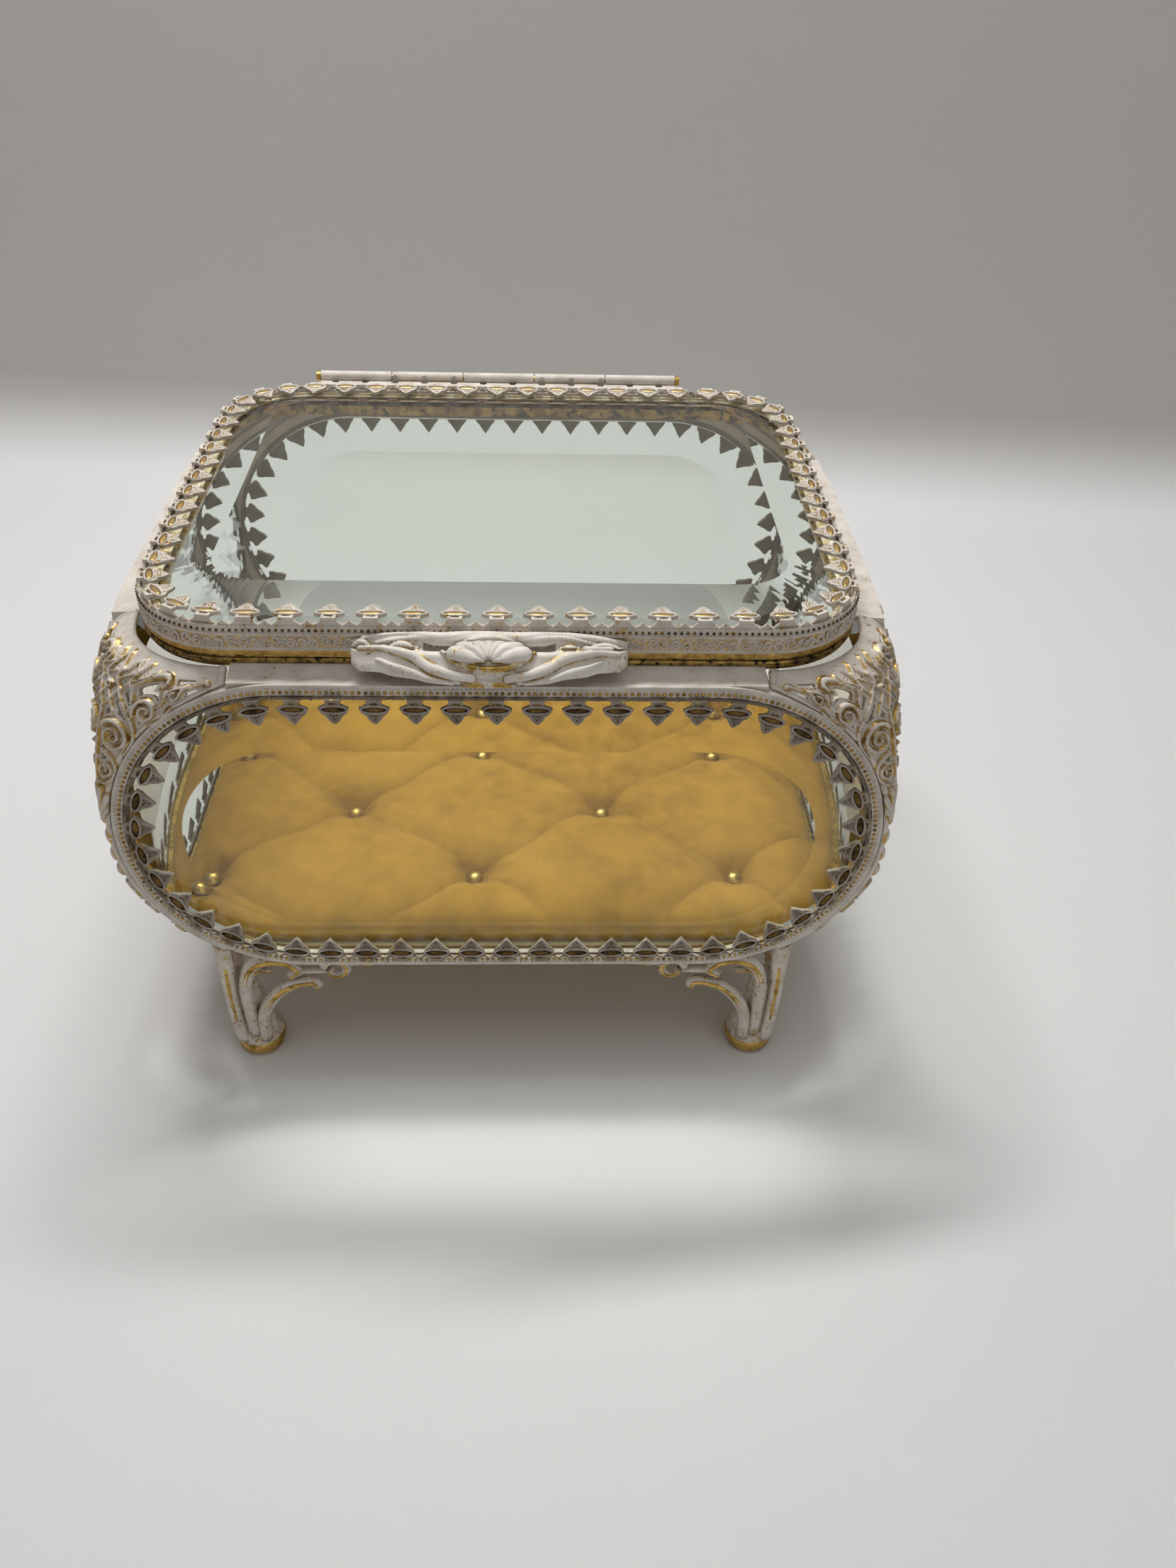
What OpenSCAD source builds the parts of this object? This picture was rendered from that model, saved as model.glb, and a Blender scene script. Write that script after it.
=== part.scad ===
// Bevelled glass casket box with prong galleries, filigree corners and a tufted cushion.
// Millimetres, +Z up, front towards -Y. The feet stand on z = 0.

/* [Windows] */
// Half height of a window, to the scalloped edge of its gallery
win_r = 29.6; // [26:0.1:32]
// Height of the window centres above the table
win_z = 59.6; // [57:0.1:63]
// Half length of the front and back windows
front_half = 65.3; // [60:0.1:72]
// Half length of the side windows
side_half = 52.5; // [48:0.1:56]
// Gap from the ends of the side windows to the front window plane
front_gap = 4.5; // [3.8:0.1:6]
// Gap from the ends of the front windows to the side window plane
side_gap = 2.7; // [2.2:0.1:4]
// Width of the dotted border round a window
border_w = 2; // [1.4:0.1:2.6]
// Depth of the dotted border, front to back
border_d = 2.6; // [2:0.1:3.2]

/* [Glass] */
// Depth of a pane's edge behind the window plane
pane_set = 1.2; // [1:0.1:1.3]
// Thickness of a pane at its edge
pane_edge_t = 2.2; // [1.6:0.1:2.6]
// Rise of a window pane from its edge to its flat middle
pane_rise = 2.3; // [1:0.1:2.6]
// Width of the bevel on a window pane
pane_bevel = 9.2; // [6:0.1:11]
// Edge thickness of the lid glass
lid_pane_t = 3.2; // [2.4:0.1:3.6]
// Rise of the lid glass bevel
lid_pane_rise = 2.1; // [1:0.1:2.6]
// Width of the bevel on the lid glass
lid_bevel = 10.5; // [7:0.1:12]
// Corner radius of the flat middle of the lid glass
lid_flat_r = 9; // [6:0.1:14]

/* [Lid] */
// Outside length of the lid band
lid_w = 122.5; // [118:0.1:124]
// Outside depth of the lid band
lid_d = 103.5; // [100:0.1:105]
// Outside corner radius of the lid band
lid_r = 17.3; // [14:0.1:20]
// Height of the lid's scalloped edge above the table
lid_top = 100; // [99.6:0.1:101]
// Height of the lid band with its gallery
band_h = 6.4; // [6:0.1:6.8]
// Thickness of the lid band
band_t = 0.9; // [0.7:0.05:1.1]
// Width of the ledge under the lid glass
ledge_w = 3.2; // [2.6:0.1:4]
// Thickness of the ledge under the lid glass
ledge_t = 0.8; // [0.6:0.1:0.9]

/* [Galleries] */
// Distance from one prong to the next, round a window
prong_pitch = 6.6; // [6:0.1:8]
// Number of prongs round the lid
lid_prongs = 63; // [58:1:68]
// Width of a prong's neck
neck_w = 2.4; // [2:0.1:2.8]
// Width of a prong's cross bar
bar_w = 5; // [4:0.1:5.4]
// Width of a prong's tip
tip_w = 2.7; // [2.2:0.1:3.2]
// Reach of a prong over the glass
prong_reach = 5.2; // [4.6:0.1:5.6]
// Thickness of the gallery wall
strip_t = 0.9; // [0.85:0.05:1.1]
// Thickness of the gallery's scalloped edge
edge_t = 0.4; // [0.3:0.05:0.45]
// How far the scalloped edge stands out in front of a window border
edge_out = 0.6; // [0.4:0.1:0.8]
// Depth of a scallop between prongs
scallop_d = 0.9; // [0.5:0.05:1.1]

/* [Body rim] */
// Height of the gilt bead's centre above the table
bead_z = 92.4; // [92:0.1:92.6]
// Radius of the gilt bead
bead_r = 0.55; // [0.4:0.05:0.65]
// Width of the shelf inside the bead
shelf_w = 3.4; // [3:0.1:4]
// Thickness of the shelf
shelf_t = 0.9; // [0.7:0.1:1.1]
// Rise of the cove from a window border up to the rim
cove_rise = 0.8; // [0.5:0.1:1]
// Thickness of the stamped window frames
sheet_t = 1; // [0.8:0.1:1.2]
// Height of the rounded shoulder at the corners, under the rim
shoulder_h = 4.4; // [3:0.1:6]
// Thickness of the filigree corners' shell
shell_t = 0.9; // [0.7:0.05:1.1]

/* [Hinge] */
// Length of the hinge
hinge_len = 79.5; // [60:0.5:84]
// Offset of the hinge's middle from the middle of the box
hinge_off = -2.8; // [-4:0.1:4]
// Number of knuckles
knuckles = 5; // [3:2:7]
// Outside diameter of a knuckle
knuckle_d = 2.4; // [2.3:0.1:2.6]
// Diameter of the hinge pin
pin_d = 1.3; // [1.1:0.05:1.4]
// Gap between neighbouring knuckles
knuckle_gap = 0.3; // [0.2:0.05:0.5]
// Thickness of a hinge leaf
leaf_t = 0.7; // [0.5:0.05:0.8]

/* [Feet] */
// Distance from the side window plane in to the middle of a toe
toe_in_x = 17.8; // [16:0.1:20]
// Distance from the front window plane in to the middle of a toe
toe_in_y = 6.1; // [5:0.1:8]
// Radius of a toe
toe_r = 4.6; // [3.8:0.1:4.8]
// How far the legs lean outwards at the top
leg_flare = 0.8; // [0:0.1:1.5]
// Reach of a leg's scrolls along the box
wing_len = 29; // [24:0.5:30]

/* [Lift handle] */
// Length of the lift handle
lift_w = 45; // [40:0.5:50]
// Offset of the handle's middle from the middle of the box
lift_off = -1.5; // [-3:0.1:3]
// Reach of the handle in front of the lid band
lift_reach = 9; // [7:0.1:10]

/* [Cushion] */
// Height of the cushion's puffs above its board
cushion_h = 9.6; // [8:0.1:11]
// Depth of the buttons below the puffs
tuft_depth = 5; // [3:0.1:6]
// Distance between buttons, left to right
tuft_x = 51; // [48:0.5:54]
// Distance between button rows, front to back
tuft_y = 20; // [18:0.5:21]
// Offset of the button pattern from the middle
tuft_off = -6; // [-8:0.5:8]
// Diameter of a tuft button
button_d = 4; // [3:0.1:5]

/* [Base] */
// Thickness of the bottom plate
plate_t = 1; // [0.8:0.1:1.2]
// Thickness of the cushion board
board_t = 1; // [0.8:0.1:1.4]

/* [Fits] */
// Gap between pieces of one body that touch
fit_gap = 0.05; // [0.03:0.01:0.1]
// Gap round soft pieces and under the closed lid
soft_gap = 0.3; // [0.2:0.05:0.4]
// Radial clearance of the hinge pin
pin_gap = 0.05; // [0.03:0.01:0.08]

/* [Hidden] */
$fn = 64;

paint = [0.86, 0.83, 0.78];
gilt = [0.78, 0.6, 0.25];
clear_glass = [0.75, 0.85, 0.82, 0.45];
velvet = [0.76, 0.56, 0.24];

// The four window planes, and the toes under them
front_y = side_half + front_gap;
side_x = front_half + side_gap;
toe_x = side_x - toe_in_x;
toe_y = front_y - toe_in_y;

// The box is moved so that its outside box is centred on the origin.
// How far the lift's ribs and the back gallery's peaks stand out past their lines
lift_lip = 0.716;
peak_out = 0.568;
lift_front = lid_d / 2 + lift_reach + lift_lip;
back_reach = front_y + edge_out + peak_out;
shift_y = (lift_front - back_reach) / 2;

rim_w = lid_w - 1;
rim_d = lid_d - 1;
rim_r = lid_r - 0.5;
rim_top = bead_z - bead_r / 2;
band_bottom = lid_top - band_h;
border_r = win_r + border_w;
pane_r = win_r - strip_t - 0.1;
win_low = win_z - border_r;
border_top = win_z + border_r;
plate_top = win_low + 2;
// Gap between a window frame and the corner beside it, and between corner and rim
seam = 0.2;
rim_clear = 0.4;
board_top = plate_top + board_t;
cushion_low = board_top + soft_gap;
hinge_y = lid_d / 2 + 3.8;
hinge_z = lid_top + 0.5;

// Points on an arc round c, from angle a to angle b
function arc(c, r, a, b, n) = [for (i = [0:n]) c + r * [cos(a + (b - a) * i / n), sin(a + (b - a) * i / n)]];

// A point at distance s round a rounded rectangle, and the angle of its outward normal
function round_at(w, d, r, s) =
    let (
        lx = w - 2 * r, ly = d - 2 * r, q = PI * r / 2,
        ends = [lx, lx + q, lx + q + ly, lx + 2 * q + ly, 2 * lx + 2 * q + ly],
        total = 2 * (lx + ly) + 4 * q,
        t = s - floor(s / total) * total
    )
    t < ends[0] ? [[-lx / 2 + t, -d / 2], -90] :
    t < ends[1] ? turn_at([lx / 2, -ly / 2], r, -90 + (t - ends[0]) / q * 90) :
    t < ends[2] ? [[w / 2, -ly / 2 + t - ends[1]], 0] :
    t < ends[3] ? turn_at([lx / 2, ly / 2], r, (t - ends[2]) / q * 90) :
    t < ends[4] ? [[lx / 2 - (t - ends[3]), d / 2], 90] :
    t < ends[4] + q ? turn_at([-lx / 2, ly / 2], r, 90 + (t - ends[4]) / q * 90) :
    t < ends[4] + q + ly ? [[-w / 2, ly / 2 - (t - ends[4] - q)], 180] :
    turn_at([-lx / 2, -ly / 2], r, 180 + (t - ends[4] - q - ly) / q * 90);
function turn_at(c, r, a) = [c + r * [cos(a), sin(a)], a];
function round_length(w, d, r) = 2 * (w + d - 4 * r) + 2 * PI * r;

module round_rect(w, d, r) {
    for (x = [-1, 1], y = [-1, 1]) translate([x * (w / 2 - r), y * (d / 2 - r)]) circle(r);
    square([w - 2 * r, d], center = true);
    square([w, d - 2 * r], center = true);
}

module round_ring(w, d, r, t) {
    difference() {
        round_rect(w, d, r);
        round_rect(w - 2 * t, d - 2 * t, r - t);
    }
}

// A long window shape: half length h, end radius r
module window_shape(h, r) {
    for (x = [-1, 1]) translate([x * (h - r), 0]) circle(r);
    square([2 * (h - r), 2 * r], center = true);
}

// A pane with one bevelled face: back face at z = 0, flat middle at the top
module bevelled_window(h, r, edge, rise, bevel) {
    profile = [[-r, 0], [r, 0], [r, edge], [r - bevel, edge + rise], [-(r - bevel), edge + rise], [-r, edge]];
    rotate([90, 0, 90]) linear_extrude(2 * (h - r), center = true) polygon(profile);
    for (x = [-1, 1]) translate([x * (h - r), 0, 0]) {
        cylinder(h = edge, r = r);
        translate([0, 0, edge]) cylinder(h = rise, r1 = r, r2 = r - bevel);
    }
}

// The scalloped edge beside one prong's neck, in its own plane, above a wall that ends at z = -scallop_d
module gallery_cell(pitch) {
    half = pitch / 2 - 0.03;
    dip = (half - neck_w / 2) / 2;
    scallop = arc([neck_w / 2 + dip, 0], dip, 180, 360, 2);
    right = [for (p = scallop) [p[0], p[1] * scallop_d / dip]];
    left = [for (i = [len(right) - 1:-1:0]) [-right[i][0], right[i][1]]];
    foot = -scallop_d - edge_t;
    neck = [[-neck_w / 2, edge_t / 2], [neck_w / 2, edge_t / 2]];
    polygon(concat([[-half, foot]], left, neck, right, [[half, foot]]));
}

// Outline of a prong's head, seen from above: neck, cross bar and rounded tip
module prong_head() {
    half = [
        [neck_w / 2, -0.1], [neck_w / 2, 1.1], [bar_w / 2, 1.8],
        [bar_w / 2 - 0.4, 2.7], [tip_w / 2, 3.4]
    ];
    mirrored = [for (i = [len(half) - 1:-1:0]) [-half[i][0], half[i][1]]];
    polygon(concat(half, [[0, prong_reach]], mirrored));
}

// A gallery round a path: wall, scalloped edge and prongs folded over the glass. The wall's outer
// face lies on the path, the peaks of its scallops are at z = 0, and the prong tips come down by drop.
module gallery(w, d, r, wall_h, drop, count) {
    length = round_length(w, d, r);
    pitch = length / count;
    translate([0, 0, -wall_h]) linear_extrude(wall_h - scallop_d) round_ring(w, d, r, strip_t);
    for (i = [0:count - 1]) {
        at = round_at(w, d, r, (i + 0.5) * pitch);
        turns = [for (k = [i, i + 1]) abs(at[1] - round_at(w, d, r, k * pitch)[1])];
        bend = max(turns) > 0.1;
        inset = 0.06 + (bend ? pitch * pitch / (8 * r) : 0);
        translate([at[0][0], at[0][1], 0]) rotate(at[1] + 90) translate([0, inset, 0]) {
            rotate([90, 0, 0]) translate([0, 0, -edge_t]) linear_extrude(edge_t) gallery_cell(pitch);
            rotate([-atan(drop / prong_reach), 0, 0]) linear_extrude(edge_t * 1.4) prong_head();
        }
    }
}

// Reach of a window's arc from its straight part, at height z
function arc_reach(z) = sqrt(max(pow(border_r + seam, 2) - pow(z - win_z, 2), 0));
// Where the rim's straight runs end, seen from above
turn_x = rim_w / 2 - rim_r;
turn_y = rim_d / 2 - rim_r;
// Shoulder under the rim: 1 where the corner stands in the window planes, 0 where it meets the rim
shoulder_z = border_top - shoulder_h;
function shoulder(z) =
    z > shoulder_z ? pow(cos(90 * min((z - shoulder_z) / (rim_top - shoulder_z), 1)), 0.45) : 1;
function mix(a, b, k) = a + (b - a) * k;
// Corner section at height z, seen from above: front edge, side edge, turning radius
function corner_section(z) =
    let (
        k = shoulder(z),
        yf = mix(rim_d / 2 + rim_clear, front_y, k),
        xs = mix(rim_w / 2 + rim_clear, side_x, k),
        a = [max(front_half - win_r + arc_reach(z), turn_x + seam), yf],
        b = [xs, max(side_half - win_r + arc_reach(z), turn_y + seam)]
    )
    [a, b, min(rim_r + rim_clear, 0.96 * min(b[0] - a[0], a[1] - b[1]))];
function corner_length(z) =
    let (e = corner_section(z))
    e[1][0] - e[0][0] + e[0][1] - e[1][1] - (2 - PI / 2) * e[2];
// A point on the corner: d is the distance from its middle line, front half negative
function corner_at(d, z) =
    let (
        e = corner_section(z), a = e[0], b = e[1], r = e[2], turn = PI * r / 2,
        total = corner_length(z), t = min(max(d + total / 2, 0), total),
        run = b[0] - r - a[0],
        angle = (t - run) / r * 180 / PI,
        p = t < run ? [a[0] + t, a[1]] :
            t < run + turn ? [b[0] - r, a[1] - r] + r * [sin(angle), cos(angle)] :
            [b[0], a[1] - r - (t - run - turn)],
        flat = 0.85 * min(max((win_z - 3 - z) / 16, 0), 1),
        q = mix(p, mix(a, b, t / total), flat)
    )
    [q[0], q[1], z];
function unit(v) = v / max(norm(v), 1e-6);
function corner_normal(d, z) = unit(cross(
    corner_at(d + 0.3, z) - corner_at(d - 0.3, z),
    corner_at(d, z - 0.3) - corner_at(d, min(z + 0.3, rim_top))));

// A raised moulding along points pts: half width w, crest height h, on surface normals ns
module moulding(pts, ns, w, h) {
    n = len(pts);
    rings = [for (i = [0:n - 1])
        let (
            t = unit(pts[min(i + 1, n - 1)] - pts[max(i - 1, 0)]),
            b = unit(cross(t, ns[i])), u = cross(b, t)
        )
        each [pts[i] - b * w, pts[i] + u * h, pts[i] + b * w, pts[i] - u * h * 0.6]];
    sides = [for (i = [0:n - 2], j = [0:3])
        let (a = 4 * i + j, b = 4 * i + (j + 1) % 4)
        each [[a, b + 4, b], [a, a + 4, b + 4]]];
    last = 4 * (n - 1);
    polyhedron(rings, concat([[0, 1, 2], [0, 2, 3]], sides,
        [[last, last + 2, last + 1], [last, last + 3, last + 2]]));
}

// A moulding on the corner surface, along points [d, z]
module corner_moulding(path, w, h) {
    moulding([for (p = path) corner_at(p[0], p[1])], [for (p = path) corner_normal(p[0], p[1])], w, h);
}

// Points of a curl: centre c, from radius r0 to r1, from angle a0 over the given turn
function curl(c, r0, r1, a0, turn, n) =
    [for (i = [0:n]) let (k = i / n, r = r0 + (r1 - r0) * k, a = a0 + turn * k) c + r * [cos(a), sin(a)]];
// Points of a curve from a to b, drawn towards m
function bow(a, m, b, n) =
    [for (i = [0:n]) let (k = i / n) (1 - k) * (1 - k) * a + 2 * k * (1 - k) * m + k * k * b];

// Thin shell of a corner, from window to window and from the leg to the rim
fil_top = rim_top - 0.1;
fil_foot = win_low + 4;
shell_rows = concat([for (t = [-60:12:72]) win_z + border_r * sin(t)], [fil_top - 0.7, fil_top]);
shell_cols = 4;
module corner_shell() {
    n = shell_cols + 1;
    rows = len(shell_rows);
    count = n * rows;
    outer = [for (z = shell_rows, i = [0:shell_cols])
        corner_at((i / shell_cols - 0.5) * corner_length(z), z)];
    inner = [for (z = shell_rows, i = [0:shell_cols])
        let (
            d = (i / shell_cols - 0.5) * corner_length(z), m = corner_normal(0.8 * d, z),
            lean = max(m[2], 0) * min((fil_top - z) / 2, 1)
        )
        // Beside a window the shell's edge goes straight in, so that it clears the frame
        corner_at(d, z) - shell_t * (i == 0 ? [0, 1, 0] : i == shell_cols ? [1, 0, 0] : [m[0], m[1], lean])];
    skin = [for (j = [0:rows - 2], i = [0:shell_cols - 1])
        let (a = j * n + i) each [[a, a + 1, a + n], [a + 1, a + n + 1, a + n]]];
    rim = concat([for (i = [0:shell_cols - 1]) i], [for (j = [0:rows - 2]) j * n + shell_cols],
        [for (i = [shell_cols:-1:1]) (rows - 1) * n + i], [for (j = [rows - 1:-1:1]) j * n]);
    polyhedron(concat(outer, inner), concat(
        skin,
        [for (f = skin) [f[0] + count, f[2] + count, f[1] + count]],
        [for (k = [0:len(rim) - 1]) let (a = rim[k], b = rim[(k + 1) % len(rim)])
            each [[a, b + count, b], [a, a + count, b + count]]]));
}

// Turns a piece drawn in the XY plane so that it lies on the corner surface at d, z
module on_corner(d, z) {
    m = corner_normal(d, z);
    translate(corner_at(d, z)) rotate([0, acos(m[2]), atan2(m[1], m[0])]) children();
}

// One half of the filigree's scrolls; side is -1 for the front half and 1 for the side half
module filigree_half(side) {
    function on(path) = [for (p = path) [side * p[0], p[1]]];
    // Large and small volutes
    corner_moulding(on(curl([2.9, win_z + 21], 2.7, 0.7, 150, -500, 8)), 0.45, 0.75);
    corner_moulding(on(curl([7.2, win_z + 26], 2, 0.7, 200, -390, 5)), 0.45, 0.75);
    // Scroll along the shoulder with a curled end
    corner_moulding(on([[12.6, win_z + 30.6], [9.7, win_z + 29.2]]), 0.45, 0.7);
    // Trellis bars
    corner_moulding(on([[0.2, win_z + 25], [6, win_z + 31.2]]), 0.45, 0.7);
    corner_moulding(on([[5, win_z + 25.2], [0.2, win_z + 31]]), 0.45, 0.6);
    // Leaf scroll of the lower half
    corner_moulding(on([[0.3, win_z - 10], [4, win_z - 16.6], [2.4, win_z - 23.6]]), 0.5, 0.75);
}

// Outlines of the openings in one half of the filigree, with their places on the corner
filigree_holes = [
    [2.9, win_z + 26.1, 1.1, 4], [5.3, win_z + 28.6, 1.3, 4], [8.2, win_z + 29.6, 0.9, 3],
    [2, win_z - 19.5, 1.4, 4]
];

// Thickness of the fan's ribs and of the buds, at the thin and at the thick end
fan_w = [0.9, 1.1];
bud_w = [1.6, 0.8];
// Moves a piece to d, z on the corner and out from its surface
module proud(d, z, out) {
    translate(corner_at(d, z) + out * corner_normal(d, z)) rotate(45) children();
}

// An openwork corner for the box's +X, +Y corner
module filigree_corner() {
    difference() {
        corner_shell();
        for (h = filigree_holes, side = [-1, 1]) on_corner(side * h[0], h[1])
            linear_extrude(4, center = true) circle(h[2], $fn = h[3]);
    }
    for (side = [-1, 1]) filigree_half(side);
    // Middle stem
    corner_moulding([for (z = [win_z + 31.2, win_z + 13]) [0, z]], 0.5, 0.7);
    // Fan shell at the waist
    for (i = [-2:2]) hull() {
        proud(0, win_z + 2.5, 0.6) cube(fan_w[0], center = true);
        proud(0.8 * i, win_z + 10.6 - 0.6 * i * i, 0.9) cube(fan_w[1], center = true);
    }
    // Buds below the shell
    for (z = [win_z + 0.6, win_z - 6, win_z - 12]) hull() {
        proud(0, z, 0.9) cube(bud_w[0], center = true);
        proud(0, z - 3.4, 0.6) cube(bud_w[1], center = true);
    }
}

// A leg for the +X, +Y corner: two openwork wings that meet over a rounded toe.
// A wing is drawn in u, z: u runs along the box from the leg's outer edge.
leg_top = win_low + 1.4;
// How far the wings stand back from the toe's outer edge
wing_in = 1.4;
function wing_at(u, z, side) =
    let (out = toe_r - wing_in + leg_flare * pow(max(z, 0) / leg_top, 1.5))
    side ? [toe_x + out, toe_y + toe_r - u, z] : [toe_x + toe_r - u, toe_y + out, z];
module wing_moulding(path, w, h, side) {
    out = side ? [1, 0, 0] : [0, 1, 0];
    moulding([for (p = path) wing_at(p[0], p[1], side)], [for (p = path) out], w, h);
}
module leg_wing(side) {
    // Outer strip up to the corner
    wing_moulding(bow([2.2, 4], [1.2, 15], [1.6, leg_top + 2], 3), 1.4, 1.1, side);
    // Large scroll that rises from the ankle, turns under the frame and curls down
    rise = [[4.6, 6], [4.4, 20.6], [6.2, 25.4], [9.6, 27.2], [13, 26.8], [15, 24.6], [13.2, 22.8]];
    wing_moulding(rise, 1.25, 1.2, side);
    wing_moulding([[5.4, 22.6], [7.4, 24.4], [10, 24.2]], 0.5, 0.8, side);
    // Arched scroll from the toe to a small end curl
    arch = [[6.4, 4.5], [6.8, 11.4], [9.4, 16.8], [13, 20.2], [17.4, 21.4], [18.5, 19.7]];
    wing_moulding(arch, 1.2, 1.2, side);
    // Ring curl, the bar that ties it to the scroll, and the leaf along the frame
    wing_moulding([[15, 24.4], [20.6, 24.6]], 0.6, 0.8, side);
    wing_moulding(curl([22.4, leg_top - 4.4], 2.5, 1.6, 170, -330, 7), 0.75, 1, side);
    leaf = [[24.4, leg_top - 2.4], [28, leg_top - 2.8], [wing_len + 3, leg_top - 2.2]];
    wing_moulding(leaf, 0.75, 0.8, side);
}
// Height and radius of the steps of toe and ankle, as shares of the toe's radius
foot_steps = [[0, 0.76], [0.16, 0.95], [0.6, 1], [1.05, 0.94], [1.5, 0.8], [2.2, 0.72], [3.3, 0.64], [4.4, 0.56]];
module foot_disc(k) {
    z = foot_steps[k][0] * toe_r;
    flare = leg_flare * pow(z / leg_top, 1.5) + 0.03 * z;
    translate([toe_x + flare, toe_y + flare, z]) rotate(22.5)
        cylinder(h = 0.01, r = foot_steps[k][1] * toe_r, $fn = 8);
}
module corner_leg() {
    leg_wing(false);
    leg_wing(true);
    for (k = [0:len(foot_steps) - 2]) hull() {
        foot_disc(k);
        foot_disc(k + 1);
    }
}

// Places a piece made at the +X, +Y corner at the corner given by the signs
module at_corner(sx, sy) {
    mirror([sx < 0 ? 1 : 0, 0, 0]) mirror([0, sy < 0 ? 1 : 0, 0]) children();
}

// Stands a window piece made in the XY plane (outside towards +Z) on a side of the box
module on_front() { translate([0, -front_y, win_z]) rotate([90, 0, 0]) children(); }
module on_back() { rotate(180) on_front() children(); }
module on_left() { translate([-side_x, 0, win_z]) rotate([90, 0, -90]) children(); }
module on_right() { rotate(180) on_left() children(); }

module placed(tone) { color(tone) translate([0, shift_y, 0]) children(); }

// A window frame: dotted border round the window, and the cove that rises to the rim.
// half is the window's half length, rim_in the distance from the window plane in to the rim,
// turn the half length of the rim's straight run.
module window_frame(half, rim_in, turn) {
    cove = concat(
        [for (i = [0:6]) [-rim_in + fit_gap + (rim_in - 1) * i / 6, border_top - win_z + cove_rise * pow(1 - i / 6, 2)]],
        [[-sheet_t / 2, border_top - win_z], [-sheet_t / 2, border_top - win_z - 3.4]],
        [[-sheet_t * 1.5, border_top - win_z - 3.4], [-sheet_t * 1.5, border_top - win_z - sheet_t]],
        [[-rim_in + fit_gap, border_top - win_z - sheet_t + cove_rise]]
    );
    difference() {
        union() {
            translate([0, 0, -border_d]) linear_extrude(border_d) window_shape(half + border_w, border_r);
            rotate([90, 0, 90]) linear_extrude(2 * (turn - seam), center = true)
                polygon([for (p = cove) [p[1], p[0]]]);
        }
        translate([0, 0, -border_d - 2]) linear_extrude(border_d + 3) window_shape(half + fit_gap, win_r + fit_gap);
    }
}

module window_gallery(half) {
    reach = prong_reach - (win_r - pane_r);
    drop = edge_out + pane_set - reach * pane_rise / pane_bevel - fit_gap;
    count = round(round_length(2 * half, 2 * win_r, win_r) / prong_pitch);
    translate([0, 0, edge_out]) gallery(2 * half, 2 * win_r, win_r - 0.01, border_d + edge_out, drop, count);
}

module window_glass(half) {
    translate([0, 0, -pane_set - pane_edge_t]) bevelled_window(half - win_r + pane_r, pane_r, pane_edge_t, pane_rise, pane_bevel);
}

module body_rim() {
    placed(gilt) {
        translate([0, 0, rim_top - shelf_t]) linear_extrude(shelf_t) round_ring(rim_w, rim_d, rim_r, shelf_w);
        translate([0, 0, rim_top - shelf_t]) linear_extrude(shelf_t + band_bottom - rim_top - soft_gap)
            round_ring(rim_w - 2 * shelf_w + 2, rim_d - 2 * shelf_w + 2, rim_r - shelf_w + 1, 1);
        rim_bead();
    }
}

// The bead along the rim's outer edge, straight runs and quarter turns
module rim_bead() {
    lx = rim_w - 2 * rim_r;
    ly = rim_d - 2 * rim_r;
    for (y = [-1, 1]) translate([-lx / 2, y * rim_d / 2, bead_z]) rotate([0, 90, 0]) cylinder(h = lx, r = bead_r);
    for (x = [-1, 1]) translate([x * rim_w / 2, -ly / 2, bead_z]) rotate([-90, 0, 0]) cylinder(h = ly, r = bead_r);
    for (q = [0:3]) translate([(q == 0 || q == 3 ? 1 : -1) * lx / 2, (q < 2 ? 1 : -1) * ly / 2, bead_z])
        rotate(q * 90) rotate_extrude(angle = 90) translate([rim_r, 0]) circle(bead_r);
}

module front_frame() { placed(paint) on_front() window_frame(front_half, front_y - rim_d / 2, turn_x); }
module back_frame() { placed(paint) on_back() window_frame(front_half, front_y - rim_d / 2, turn_x); }
module left_frame() { placed(paint) on_left() window_frame(side_half, side_x - rim_w / 2, turn_y); }
module right_frame() { placed(paint) on_right() window_frame(side_half, side_x - rim_w / 2, turn_y); }

module front_gallery() { placed(gilt) on_front() window_gallery(front_half); }
module back_gallery() { placed(gilt) on_back() window_gallery(front_half); }
module left_gallery() { placed(gilt) on_left() window_gallery(side_half); }
module right_gallery() { placed(gilt) on_right() window_gallery(side_half); }

module front_glass() { placed(clear_glass) on_front() window_glass(front_half); }
module back_glass() { placed(clear_glass) on_back() window_glass(front_half); }
module left_glass() { placed(clear_glass) on_left() window_glass(side_half); }
module right_glass() { placed(clear_glass) on_right() window_glass(side_half); }

module corner_front_left() { placed(paint) at_corner(-1, -1) filigree_corner(); }
module corner_front_right() { placed(paint) at_corner(1, -1) filigree_corner(); }
module corner_back_left() { placed(paint) at_corner(-1, 1) filigree_corner(); }
module corner_back_right() { placed(paint) at_corner(1, 1) filigree_corner(); }

module leg_front_left() { placed(gilt) at_corner(-1, -1) corner_leg(); }
module leg_front_right() { placed(gilt) at_corner(1, -1) corner_leg(); }
module leg_back_left() { placed(gilt) at_corner(-1, 1) corner_leg(); }
module leg_back_right() { placed(gilt) at_corner(1, 1) corner_leg(); }

plate_w = 2 * (side_x - border_d - fit_gap);
plate_d = 2 * (front_y - border_d - fit_gap);
plate_r = 24;
module bottom_plate() {
    placed(gilt) translate([0, 0, plate_top - plate_t]) linear_extrude(plate_t) round_rect(plate_w, plate_d, plate_r);
}

board_w = plate_w - 2;
board_d = plate_d - 2;
module cushion_board() {
    placed("tan") translate([0, 0, plate_top + fit_gap]) linear_extrude(board_t - fit_gap)
        round_rect(board_w - 4, board_d - 2, plate_r - 2);
}

// Cushion surface
cush_w = board_w - 3;
cush_d = board_d - 1.4;
cush_r = plate_r - 4;
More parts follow.
